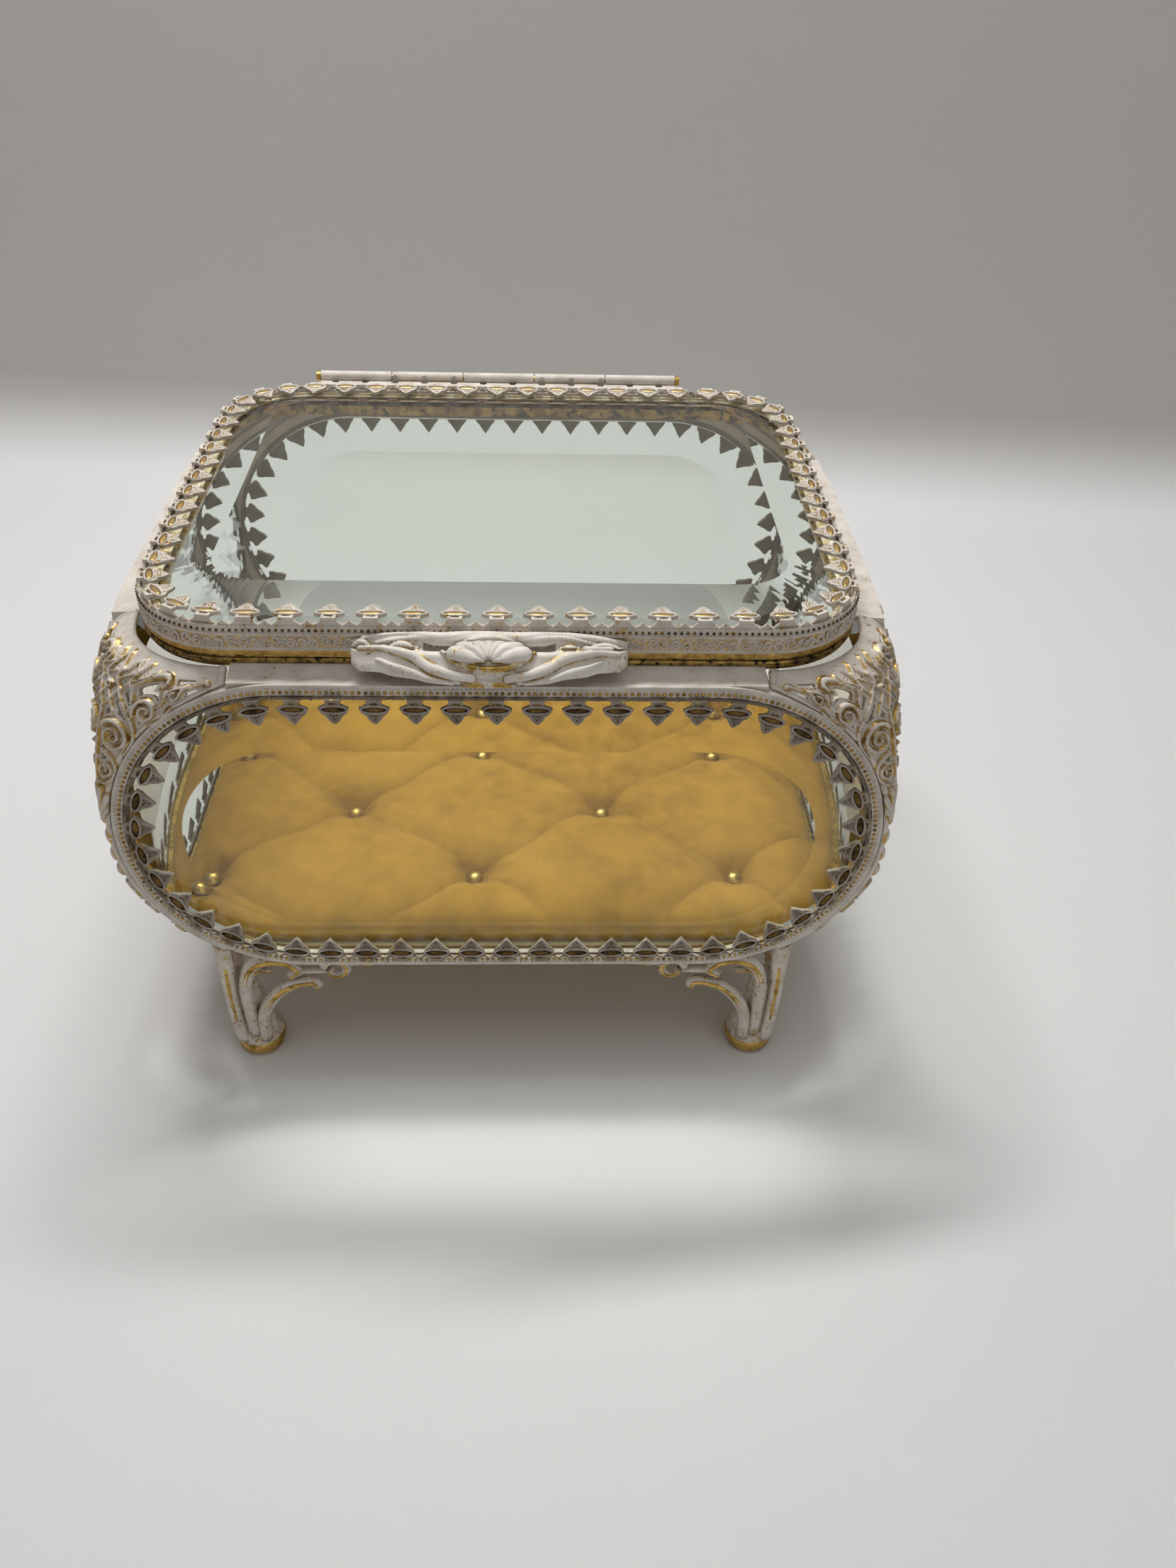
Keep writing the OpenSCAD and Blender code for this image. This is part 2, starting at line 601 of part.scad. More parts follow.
// Height of the upholstered top over the plane, before the edge roll
function tuft_puff(x, y) =
    let (a = (x - tuft_off) / tuft_x + y / (2 * tuft_y), b = (x - tuft_off) / tuft_x - y / (2 * tuft_y))
    pow(abs(sin(180 * a) * sin(180 * b)), 0.45);
function button_dip(x, y) =
    let (
        a = (x - tuft_off) / tuft_x + y / (2 * tuft_y), b = (x - tuft_off) / tuft_x - y / (2 * tuft_y),
        da = a - round(a), db = b - round(b), dx = (da + db) * tuft_x / 2, dy = (da - db) * tuft_y
    )
    exp(-(dx * dx + dy * dy) / 18);
function cushion_z(x, y, inset) =
    let (
        roll = sqrt(max(1 - pow(1 - min(inset / 11, 1), 2), 0)),
        crown = 1 - 0.06 * (x * x / (cush_w * cush_w) + y * y / (cush_d * cush_d)) * 4
    )
    cushion_low + 3 + (cushion_h - 3) * roll * crown
        - roll * (tuft_depth * 0.5 * (1 - tuft_puff(x, y)) + tuft_depth * 0.5 * button_dip(x, y));
// Moves a point of the rectangle so that the rectangle's corners become round
function rounded(x, y) =
    let (
        hx = cush_w / 2, hy = cush_d / 2, cx = abs(x) - (hx - cush_r), cy = abs(y) - (hy - cush_r),
        k = cx > 0 && cy > 0 ? max(cx, cy) / norm([cx, cy]) : 1
    )
    cx > 0 && cy > 0 ? [sign(x) * (hx - cush_r + cx * k), sign(y) * (hy - cush_r + cy * k)] : [x, y];
function inset_of(x, y) =
    let (
        hx = cush_w / 2, hy = cush_d / 2, cx = abs(x) - (hx - cush_r), cy = abs(y) - (hy - cush_r)
    )
    cx > 0 && cy > 0 ? cush_r - norm([cx, cy]) : min(hx - abs(x), hy - abs(y));
nx = 24;
ny = 18;
module cushion() {
    // Closer rows near the edge, where the roll is
    function spread(k) = k * (1.18 - 0.18 * k * k);
    top = [for (j = [0:ny], i = [0:nx])
        let (
            u = spread(2 * i / nx - 1), v = spread(2 * j / ny - 1),
            p = rounded(u * cush_w / 2, v * cush_d / 2)
        )
        [p[0], p[1], cushion_z(p[0], p[1], inset_of(p[0], p[1]))]];
    edge = concat(
        [for (i = [0:nx - 1]) i], [for (j = [0:ny - 1]) j * (nx + 1) + nx],
        [for (i = [nx:-1:1]) ny * (nx + 1) + i], [for (j = [ny:-1:1]) j * (nx + 1)]
    );
    count = len(edge);
    first = len(top);
    // Sides: drawn in towards the sewn bottom edge
    rings = concat(
        [for (e = edge) [top[e][0] * 1.004, top[e][1] * 1.004, cushion_low + 1.6]],
        [for (e = edge) [top[e][0] * 0.985, top[e][1] * 0.985, cushion_low]]
    );
    faces = concat(
        [for (j = [0:ny - 1], i = [0:nx - 1])
            let (a = j * (nx + 1) + i, b = a + 1, c = a + nx + 2, d = a + nx + 1)
            each (i < nx / 2) == (j < ny / 2) ? [[a, c, b], [a, d, c]] : [[a, d, b], [b, d, c]]],
        [for (k = [0:count - 1]) let (n = (k + 1) % count)
            each [[edge[k], edge[n], first + n], [edge[k], first + n, first + k]]],
        [for (k = [0:count - 1]) let (n = (k + 1) % count)
            each [[first + k, first + n, first + count + n], [first + k, first + count + n, first + count + k]]],
        [for (k = [1:count - 2]) [first + count, first + count + k, first + count + k + 1]]
    );
    placed(velvet) difference() {
        polyhedron(concat(top, rings), faces);
        // Pockets that the buttons are drawn into
        at_tufts(button_low) cylinder(h = cushion_h, d = button_d + 2 * soft_gap, $fn = 8);
    }
}

button_low = cushion_low + cushion_h - tuft_depth;
module at_tufts(z) {
    for (j = [-2:2], i = [-1:1]) if (j % 2 == 0 || i < 1)
        translate([tuft_off + (i + (j % 2 == 0 ? 0 : 0.5)) * tuft_x, j * tuft_y, z]) children();
}
module tuft_buttons() {
    placed(gilt) at_tufts(button_low + soft_gap) intersection() {
        translate([0, 0, -button_d * 0.15]) sphere(d = button_d);
        translate([-button_d, -button_d, 0]) cube([2 * button_d, 2 * button_d, button_d]);
    }
}

// Length of one knuckle, and the start of knuckle i
knuckle_len = (hinge_len - (knuckles - 1) * knuckle_gap) / knuckles;
function knuckle_at(i) = hinge_off - hinge_len / 2 + i * (knuckle_len + knuckle_gap);
module knuckle_run(odd) {
    for (i = [0:knuckles - 1]) if ((i % 2 == 1) == odd) translate([knuckle_at(i), hinge_y, hinge_z])
        rotate([0, 90, 0]) cylinder(h = knuckle_len, d = knuckle_d);
}
module pin_bore() {
    translate([hinge_off - hinge_len, hinge_y, hinge_z]) rotate([0, 90, 0])
        cylinder(h = 2 * hinge_len, d = pin_d + 2 * pin_gap);
}
module hinge_body_leaf() {
    leaf_low = border_top + 0.35;
    placed(paint) difference() {
        union() {
            knuckle_run(false);
            for (i = [0:2:knuckles - 1]) translate([knuckle_at(i), hinge_y, hinge_z - 2.4])
                cube([knuckle_len, leaf_t, 2.4 - pin_d / 2]);
            translate([hinge_off - hinge_len / 2, hinge_y, leaf_low]) cube([hinge_len, leaf_t, hinge_z - 1.9 - leaf_low]);
        }
        pin_bore();
    }
}
module hinge_pin() {
    placed(gilt) {
        translate([hinge_off - hinge_len / 2 - 0.2, hinge_y, hinge_z]) rotate([0, 90, 0])
            cylinder(h = hinge_len + 0.4, d = pin_d);
        for (x = [-1, 1]) translate([hinge_off + x * (hinge_len / 2 + 0.6), hinge_y, hinge_z])
            rotate([0, 90, 0]) cylinder(h = 0.9, d = knuckle_d - 0.3, center = true);
    }
}
module hinge_lid_leaf() {
    flange_y = lid_d / 2 + fit_gap;
    // How far the strip under the lid band reaches below the hinge line
    flange_low = 5;
    placed(paint) difference() {
        union() {
            knuckle_run(true);
            // Strip from the barrel to the lid band, over the lid's knuckles and along the whole hinge
            for (i = [1:2:knuckles - 1]) translate([knuckle_at(i), hinge_y - 1.6, hinge_z - knuckle_d / 2])
                cube([knuckle_len, 1.6, leaf_t]);
            translate([hinge_off - hinge_len / 2, flange_y, hinge_z - knuckle_d / 2])
                cube([hinge_len, hinge_y - 1.5 - flange_y, leaf_t]);
            translate([hinge_off - hinge_len / 2, flange_y, hinge_z - flange_low])
                cube([hinge_len, leaf_t, flange_low - 0.5]);
        }
        pin_bore();
        // Half round openings between the barrel and the prongs
        for (x = [-hinge_len / 2 + prong_pitch / 2:prong_pitch:hinge_len / 2 - 1])
            translate([hinge_off + x, hinge_y - 1.7, hinge_z - 2]) cylinder(h = 3, r = 0.8, $fn = 32);
    }
}

module lid_band() {
    placed(paint) {
        translate([0, 0, band_bottom]) linear_extrude(band_h - scallop_d - wall_under) round_ring(lid_w, lid_d, lid_r, band_t);
        translate([0, 0, ledge_z]) linear_extrude(ledge_t) round_ring(lid_w, lid_d, lid_r, ledge_w);
    }
}
glass_in = 1.3;
wall_under = 1.2;
lid_glass_top = lid_top - 1.3;
ledge_z = lid_glass_top - lid_pane_t - ledge_t - fit_gap;

module lid_gallery() {
    drop = lid_top - lid_glass_top - (prong_reach - glass_in) * lid_pane_rise / lid_bevel - fit_gap;
    wall_h = scallop_d + wall_under - fit_gap;
    placed(gilt) translate([0, 0, lid_top]) gallery(lid_w, lid_d, lid_r, wall_h, drop, lid_prongs);
}

module lid_glass() {
    w = lid_w - 2 * glass_in;
    d = lid_d - 2 * glass_in;
    placed(clear_glass) hull() {
        translate([0, 0, lid_glass_top - lid_pane_t]) linear_extrude(lid_pane_t) round_rect(w, d, lid_r - glass_in);
        linear_extrude_at(lid_glass_top) round_rect(w - 2 * lid_bevel, d - 2 * lid_bevel, lid_flat_r);
    }
}
module linear_extrude_at(z) { translate([0, 0, z]) linear_extrude(lid_pane_rise) children(); }

// Lift handle: shell between scrolls, over a lobed apron. Made with the band's face at y = 0.
lift_z = lid_top - 3.2;
function lift_at(x, out, z) = [x * lift_w / 2, -out * lift_reach, lift_z + z];
module lift_moulding(path, w, h) {
    moulding([for (p = path) lift_at(p[0], p[1], p[2])], [for (p = path) [0, -0.5, 0.85]], w, h);
}
module lift_handle() {
    placed(paint) translate([lift_off, -lid_d / 2 - fit_gap, 0]) difference() {
        union() {
            for (m = [0, 1]) mirror([m, 0, 0]) {
                // Top roll along the band, outer scroll and its curled end
                lift_moulding(bow([-0.02, 0.14, 1], [0.5, 0.05, 1.6], [0.86, 0.2, 0], 4), 1, 1);
                lift_moulding(bow([0.86, 0.2, 0], [1, 0.34, -0.6], [0.94, 0.5, -1.4], 4), 1, 0.9);
                // Front scroll from the shell to the end leaf
                lift_moulding(bow([0.12, 0.72, -0.8], [0.45, 0.5, -0.2], [0.94, 0.5, -1.4], 5), 1.1, 1);
                lift_moulding(bow([0.5, 0.55, -0.6], [0.56, 0.3, 0.8], [0.62, 0.14, 0.9], 4), 0.7, 0.9);
                lift_moulding(bow([0.28, 0.6, -0.4], [0.24, 0.4, 0.6], [0.2, 0.14, 1], 4), 0.7, 0.9);
                // Lower apron
                lift_moulding(bow([-0.02, 0.95, -3], [0.35, 0.85, -3.6], [0.66, 0.5, -3.4], 4), 1.3, 0.9);
                lift_moulding(bow([0.66, 0.5, -3.4], [0.8, 0.44, -2.6], [0.74, 0.3, -1.8], 4), 0.9, 0.8);
            }
            // Fan shell of five ribs
            for (i = [-2:2]) hull() {
                translate(lift_at(0, 0.2, 0.9)) cube(1.1, center = true);
                translate(lift_at(0.28 * sin(26 * i), 0.34 + 0.5 * cos(26 * i), -0.9)) sphere(1.2, $fn = 5);
            }
            // Web that carries shell, scrolls and apron on the band
            hull() {
                translate([-lift_w * 0.4, -2.2, lift_z - 1.6]) cube([lift_w * 0.8, 2.2, 2.6]);
                translate([-lift_w * 0.06, -lift_reach * 0.7, lift_z - 2.6]) cube([lift_w * 0.12, 2, 1]);
            }
        }
        // Keeps the back face flat on the band
        translate([-lift_w, 0, lift_z - 20]) cube([2 * lift_w, 10, 40]);
    }
}

body_rim();
front_frame();
back_frame();
left_frame();
right_frame();
front_gallery();
back_gallery();
left_gallery();
right_gallery();
front_glass();
back_glass();
left_glass();
right_glass();
corner_front_left();
corner_front_right();
corner_back_left();
corner_back_right();
leg_front_left();
leg_front_right();
leg_back_left();
leg_back_right();
bottom_plate();
cushion_board();
cushion();
tuft_buttons();
hinge_body_leaf();
hinge_pin();
hinge_lid_leaf();
lid_band();
lid_gallery();
lid_glass();
lift_handle();
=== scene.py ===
"""Looks of the bevelled glass casket box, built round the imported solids."""

import math

import bmesh
import bpy
import numpy as np
from mathutils import Matrix, Vector


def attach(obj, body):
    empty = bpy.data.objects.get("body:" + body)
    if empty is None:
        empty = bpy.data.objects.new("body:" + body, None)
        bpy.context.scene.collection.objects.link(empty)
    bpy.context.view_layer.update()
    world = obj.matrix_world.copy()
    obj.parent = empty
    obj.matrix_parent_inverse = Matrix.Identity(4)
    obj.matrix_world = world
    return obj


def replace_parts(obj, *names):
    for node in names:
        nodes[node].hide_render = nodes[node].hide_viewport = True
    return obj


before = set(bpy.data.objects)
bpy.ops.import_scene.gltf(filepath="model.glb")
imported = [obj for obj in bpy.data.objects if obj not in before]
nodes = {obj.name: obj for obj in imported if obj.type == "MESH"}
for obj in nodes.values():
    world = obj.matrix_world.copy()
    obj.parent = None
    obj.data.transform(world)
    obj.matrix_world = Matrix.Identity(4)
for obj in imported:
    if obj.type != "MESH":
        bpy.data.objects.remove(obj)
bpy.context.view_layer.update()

MM = 0.001

# Sizes in millimetres, as the part's source has them. Windows: end radius, middle's height, half lengths,
# planes of the frames
WIN_R, WIN_Z = 29.6, 59.6
FRONT_HALF, SIDE_HALF = 65.3, 52.5
FRONT_Y, SIDE_X = 57.0, 68.0
BORDER_R = WIN_R + 2.0
EDGE_OUT, EDGE_T = 0.6, 0.4
# Prongs and bevelled panes
PRONG_PITCH, PRONG_REACH, STRIP_T = 6.6, 5.2, 0.9
PANE_SET, PANE_RISE, PANE_BEVEL = 1.2, 2.3, 9.2
# Lid
LID_W, LID_D, LID_R = 122.5, 103.5, 17.3
LID_TOP, LID_GLASS_TOP = 100.0, 98.7
LID_PANE_RISE, LID_BEVEL, GLASS_IN = 2.1, 10.5, 1.3
LID_PRONGS = 63
RIDGE_Z, SCROLL_Z, SCROLL_PITCH = 97.5, 96.0, 3.77
# Body rim and the corners below it
RIM_W, RIM_D, RIM_R = LID_W - 1, LID_D - 1, LID_R - 0.5
BEAD_Z, BEAD_R = 92.4, 0.55
RIM_TOP = BEAD_Z - BEAD_R / 2
RIM_CLEAR, SEAM = 0.4, 0.2
SHOULDER_Z = WIN_Z + BORDER_R - 4.4
TURN_X, TURN_Y = RIM_W / 2 - RIM_R, RIM_D / 2 - RIM_R
# Lift handle
LIFT_W, LIFT_REACH, LIFT_OFF = 45.0, 9.0, -1.5
LIFT_Z = LID_TOP - 3.2
# Legs
TOE_X, TOE_Y, TOE_R = 50.2, 50.9, 4.6
LEG_FLARE, WING_LEN = 0.8, 29.0
LEG_TOP = WIN_Z - BORDER_R + 1.4
# Move from the windows' middle to the middle of the outside box
LIFT_LIP, PEAK_OUT = 0.716, 0.568
SHIFT_Y = ((LID_D / 2 + LIFT_REACH + LIFT_LIP) - (FRONT_Y + EDGE_OUT + PEAK_OUT)) / 2
# Cushion between the walls; folds, pleats and tufts by their depth
WALL_T, HUG = 2.6, 0.05
CUSH_W = 2 * (SIDE_X - WALL_T - HUG) - 5.0
CUSH_D = 2 * (FRONT_Y - WALL_T - HUG) - 3.4
CUSH_R, CUSHION_LOW, CUSHION_H = 20.0, 31.3, 9.6
TUFT_X, TUFT_Y, TUFT_OFF = 51.0, 20.0, -6.0
TUFT_DEPTH, CREASE, PLEAT, PIPING = 5.0, 2.0, 0.22, 3.0


# ---------------------------------------------------------------- finishes
class Wire:
    """A node's output. Arithmetic on it adds Math nodes."""

    def __init__(self, finish, socket):
        self.finish = finish
        self.socket = socket

    def _math(self, operation, a, b):
        return self.finish.node("ShaderNodeMath", {"operation": operation}, {0: a, 1: b})

    def __add__(self, other):
        return self._math("ADD", self, other)

    __radd__ = __add__

    def __mul__(self, other):
        return self._math("MULTIPLY", self, other)

    __rmul__ = __mul__

    def __sub__(self, other):
        return self._math("SUBTRACT", self, other)

    def __rsub__(self, other):
        return self._math("SUBTRACT", other, self)

    def clamped(self):
        return self.finish.node("ShaderNodeClamp", {}, {0: self})


class Finish:
    """A material, and the one way its nodes are made."""

    def __init__(self, name):
        self.material = bpy.data.materials.new(name)
        self.material.use_nodes = True
        self.tree = self.material.node_tree
        self.tree.nodes.clear()
        self.shader = self.tree.nodes.new("ShaderNodeBsdfPrincipled")
        self.end = self.tree.nodes.new("ShaderNodeOutputMaterial")
        self.tree.links.new(self.shader.outputs[0], self.end.inputs["Surface"])

    def node(self, kind, settings=None, inputs=None, out=0):
        made = self.tree.nodes.new(kind)
        for key, value in (settings or {}).items():
            setattr(made, key, value)
        for key, value in (inputs or {}).items():
            self.feed(made.inputs[key], value)
        return Wire(self, made.outputs[out])

    def feed(self, socket, value):
        if isinstance(value, Wire):
            self.tree.links.new(value.socket, socket)
        elif isinstance(value, tuple) and len(value) == 3 and len(socket.default_value) == 4:
            socket.default_value = (*value, 1)
        else:
            socket.default_value = value

    def put(self, **inputs):
        for name, value in inputs.items():
            self.feed(self.shader.inputs[name.replace("_", " ")], value)
        return self

    def place(self):
        return self.node("ShaderNodeTexCoord", out="Object")

    def axis(self, name):
        return self.node("ShaderNodeSeparateXYZ", {}, {0: self.place()}, out=name)

    def noise(self, scale, detail=3.0, rough=0.55):
        values = {"Vector": self.place(), "Scale": scale, "Detail": detail, "Roughness": rough}
        return self.node("ShaderNodeTexNoise", {}, values)

    def between(self, value, low, high):
        """0 below low, 1 above high, straight in between."""
        return self.node("ShaderNodeMapRange", {"clamp": True}, {0: value, 1: low, 2: high, 3: 0.0, 4: 1.0})

    def mix(self, factor, a, b):
        return self.node("ShaderNodeMix", {"data_type": "RGBA"}, {0: factor, 6: a, 7: b}, out=2)

    def recess(self, reach):
        """1 in corners and hollows within the given reach, 0 on open faces."""
        near = {"samples": 6, "only_local": True}
        seen = self.node("ShaderNodeAmbientOcclusion", near, {"Distance": reach}, out="AO")
        return self.between(seen, 0.95, 0.35)

    def ridge(self, radius):
        """1 along sharp edges, 0 on flat faces."""
        soft = self.node("ShaderNodeBevel", {"samples": 4}, {"Radius": radius})
        true = self.node("ShaderNodeNewGeometry", out="True Normal")
        same = self.node("ShaderNodeVectorMath", {"operation": "DOT_PRODUCT"}, {0: soft, 1: true}, out="Value")
        return self.between(same, 0.98, 0.8)

    def clear_where(self, share, colour=(1.0, 1.0, 1.0)):
        """Lets light and sight through where the share is 1."""
        clear = self.node("ShaderNodeBsdfTransparent", {}, {"Color": colour})
        mixer = self.node("ShaderNodeMixShader", {}, {0: share, 2: clear}).socket.node
        self.tree.links.new(self.shader.outputs[0], mixer.inputs[1])
        self.tree.links.new(mixer.outputs[0], self.end.inputs["Surface"])

    def bump(self, height, strength, distance):
        return self.node("ShaderNodeBump", {}, {"Height": height, "Strength": strength, "Distance": distance})


WHITE = (0.72, 0.66, 0.59)
WORN_WHITE = (0.55, 0.49, 0.42)
# Window prong paint: the white paint darkened to taupe as painted shade, for the backlit windows
SHADED_PRONG_PAINT = (0.33, 0.28, 0.23)
SHADED_WORN_PRONG_PAINT = (0.17, 0.135, 0.10)
GOLD = (0.66, 0.43, 0.12)
DEEP_GOLD = (0.27, 0.155, 0.035)
# Dark of the chips in worn gilt, also painted shade in pierced dots and recesses
CHIP_AND_SHADE_DARK = (0.045, 0.03, 0.018)


def aged_paint(name, gold_share, recess_reach, ridges=0.0, fresh=WHITE, worn_and_shaded=WORN_WHITE, lines=False, hollow_darkening=0.75):
    """White paint over gilt metal, worn to gold in specks and on ridges; hollows turn dark gold and brown."""
    f = Finish(name)
    cloud = f.noise(260)
    speck = f.noise(1500, 4)
    paint = f.mix(f.between(cloud, 0.35, 0.7), fresh, worn_and_shaded)
    worn = f.between(speck + 0.35 * (cloud - 0.5), 0.68 - gold_share, 0.74 - gold_share)
    hollow = f.recess(recess_reach)
    if ridges:
        worn = (worn + ridges * f.ridge(0.00025) * f.between(f.noise(700), 0.35, 0.6)).clamped()
    if lines:
        drawn = f.node("ShaderNodeAttribute", {"attribute_name": "gilt"}, out="Fac")
        worn = (worn + drawn * f.between(f.noise(520, 4), 0.36, 0.5)).clamped()
    gold = f.mix(f.between(f.noise(900), 0.3, 0.7), GOLD, DEEP_GOLD)
    colour = f.mix(worn, paint, gold)
    # Hollows found by ambient occlusion turn dark gold and brown, by the given share
    colour = f.mix(hollow * hollow_darkening, colour, f.mix(f.between(cloud, 0.4, 0.6), DEEP_GOLD, (0.2, 0.16, 0.11)))
    f.put(Base_Color=colour, Metallic=worn * 0.9, Roughness=0.52 - 0.2 * worn,
          Normal=f.bump(speck, 0.25, 0.00015), Specular_IOR_Level=0.45)
    return f.material


def gilt_metal(name, bright=GOLD, dark=DEEP_GOLD, chips=0.0):
    """Gilt brass with brown tarnish and, on a rim, dark chips."""
    f = Finish(name)
    stain = f.between(f.noise(420, 4), 0.42, 0.68)
    colour = f.mix(stain, bright, dark)
    if chips:
        colour = f.mix(f.between(f.noise(800, 5), 0.64 - chips, 0.7 - chips), colour, CHIP_AND_SHADE_DARK)
    f.put(Base_Color=colour, Metallic=0.95, Roughness=0.26 + 0.25 * stain,
          Normal=f.bump(f.noise(1200), 0.2, 0.0001))
    return f.material


def recess_finish(name):
    """Dark gilt standing for the shade inside the pierced dots and scallops: painted shade."""
    f = Finish(name)
    colour = f.mix(f.between(f.noise(1200), 0.4, 0.65), CHIP_AND_SHADE_DARK, DEEP_GOLD)
    f.put(Base_Color=colour, Metallic=0.5, Roughness=0.55)
    return f.material


def plate_glass(name, tint):
    """Polished plate glass that lets lamp light through to what lies behind it."""
    f = Finish(name)
    # A low refractive index keeps the steep bevels clear instead of trapping the view
    f.put(Base_Color=tint, Roughness=0.0, IOR=1.38, Transmission_Weight=1.0,
          Normal=f.bump(f.noise(60, 2), 0.02, 0.0002))
    f.clear_where(f.node("ShaderNodeLightPath", out="Is Shadow Ray"), (0.93, 0.95, 0.93))
    return f.material


def velvet(name):
    """Amber velvet: nap in two scales, with painted shade in the creases and round the buttons."""
    f = Finish(name)
    fold = f.node("ShaderNodeAttribute", {"attribute_name": "fold"}, out="Fac")
    nap = f.noise(3200, 4, 0.7)
    patch = f.noise(240, 4)
    sweep = f.noise(38, 3)
    colour = f.mix(f.between(patch, 0.36, 0.66), (0.235, 0.118, 0.012), (0.345, 0.178, 0.02))
    colour = f.mix(f.between(sweep, 0.38, 0.64) * 0.45, colour, (0.42, 0.225, 0.03))
    colour = f.mix(f.between(nap, 0.3, 0.75) * 0.35, colour, (0.22, 0.11, 0.016))
    # Painted shade in the creases and round the tuft buttons
    colour = f.mix(fold, colour, (0.11, 0.052, 0.008))
    f.put(Base_Color=colour, Roughness=0.85, Normal=f.bump(nap, 0.5, 0.0003), Specular_IOR_Level=0.15,
          Sheen_Weight=0.1, Sheen_Roughness=0.4, Sheen_Tint=(0.9, 0.68, 0.32))
    return f.material


def card_board(name):
    f = Finish(name)
    colour = f.mix(f.noise(500, 4), (0.45, 0.33, 0.18), (0.56, 0.44, 0.27))
    f.put(Base_Color=colour, Roughness=0.9, Normal=f.bump(f.noise(2500), 0.3, 0.0002))
    return f.material


def band_paint(name):
    """Lid band: white paint, gold ground behind the scrolls, gold-brown lower edge."""
    f = Finish(name)
    z = f.axis("Z") * 1000
    cloud = f.noise(300)
    speck = f.noise(1400, 4)
    paint = f.mix(f.between(cloud, 0.35, 0.7), WHITE, WORN_WHITE)
    gold = f.mix(f.between(f.noise(800), 0.3, 0.7), GOLD, DEEP_GOLD)
    low = 1 - f.between(z, 94.3, 94.6)
    ground = f.between(z, 94.9, 95.05) * (1 - f.between(z, 97.1, 97.25)) * f.between(speck, 0.38, 0.56)
    mask = (low + ground * 0.85 + f.between(speck, 0.62, 0.7) * 0.6).clamped()
    colour = f.mix(mask, paint, gold)
    f.put(Base_Color=colour, Metallic=mask * 0.9, Roughness=0.5 - 0.2 * mask, Normal=f.bump(speck, 0.25, 0.00015))
    return f.material


FINISH = {
    "paint": aged_paint("aged white paint", 0.02, 0.0012),
    "filigree": aged_paint("aged filigree paint", 0.04, 0.0016, lines=True, hollow_darkening=0.35),
    # Window prongs and galleries: paint darkened as painted shade
    "prong": aged_paint("window prong paint", 0.06, 0.0010, 0.3, SHADED_PRONG_PAINT, SHADED_WORN_PRONG_PAINT),
    # Window prong borders: worn white paint, darkened further as painted shade
    "worn_and_shaded": aged_paint("window prong borders", 0.03, 0.0008, 0.0, (0.44, 0.39, 0.34), (0.26, 0.21, 0.17)),
    "crest": aged_paint("lid prong paint", 0.08, 0.0010, 0.5),
    "leg": aged_paint("leg paint", 0.10, 0.0014, 0.6),
    "scroll": aged_paint("scroll paint", 0.04, 0.0008),
    "lift": aged_paint("lift paint", 0.04, 0.0012, 0.0, (0.82, 0.77, 0.70), (0.66, 0.60, 0.52), lines=True,
                       hollow_darkening=0.4),
    "band": band_paint("lid band paint"),
    "gilt": gilt_metal("gilt brass"),
    "rim": gilt_metal("worn gilt rim", (0.46, 0.30, 0.09), (0.14, 0.085, 0.03), 0.1),
    # Window prong ovals: the gilt of the lid's ovals darkened as painted shade
    "oval": gilt_metal("gilt recess", (0.15, 0.085, 0.025), (0.03, 0.018, 0.008)),
    "pale_oval": gilt_metal("lid gilt recess", (0.66, 0.46, 0.18), (0.28, 0.17, 0.05)),
    "dark": recess_finish("dark recess"),
    "glass": plate_glass("bevelled glass", (0.91, 0.955, 0.92)),
    "velvet": velvet("amber velvet"),
    "board": card_board("card board"),
}


def node_finish(name):
    if "glass" in name:
        return "glass"
    # Window galleries take the prong paint, darkened as painted shade
    if "gallery" in name:
        return "crest" if name.startswith("lid") else "prong"
    if name.startswith("leg") or name == "lift_handle":
        return "leg"
    if name.startswith("corner"):
        return "filigree"
    plain = {"body_rim": "rim", "lid_band": "band", "bottom_plate": "gilt", "tuft_buttons": "gilt",
             "hinge_pin": "gilt", "cushion_board": "board", "cushion": "velvet"}
    return plain.get(name, "paint")


for node_name, solid in nodes.items():
    solid.data.materials.clear()
    solid.data.materials.append(FINISH[node_finish(node_name)])


# ---------------------------------------------------------------- meshes
def smooth_mesh(name, points, faces, **marks):
    """A smooth mesh from points in metres, its faces turned outwards, with numbers kept at the points."""
    data = bpy.data.meshes.new(name)
    data.from_pydata(points, [], faces)
    data.polygons.foreach_set("use_smooth", [True] * len(faces))
    for title, values in marks.items():
        data.attributes.new(title, "FLOAT", "POINT").data.foreach_set("value", values)
    work = bmesh.new()
    work.from_mesh(data)
    bmesh.ops.delete(work, geom=[v for v in work.verts if not v.link_faces], context="VERTS")
    bmesh.ops.recalc_face_normals(work, faces=work.faces)
    work.to_mesh(data)
    work.free()
    return data


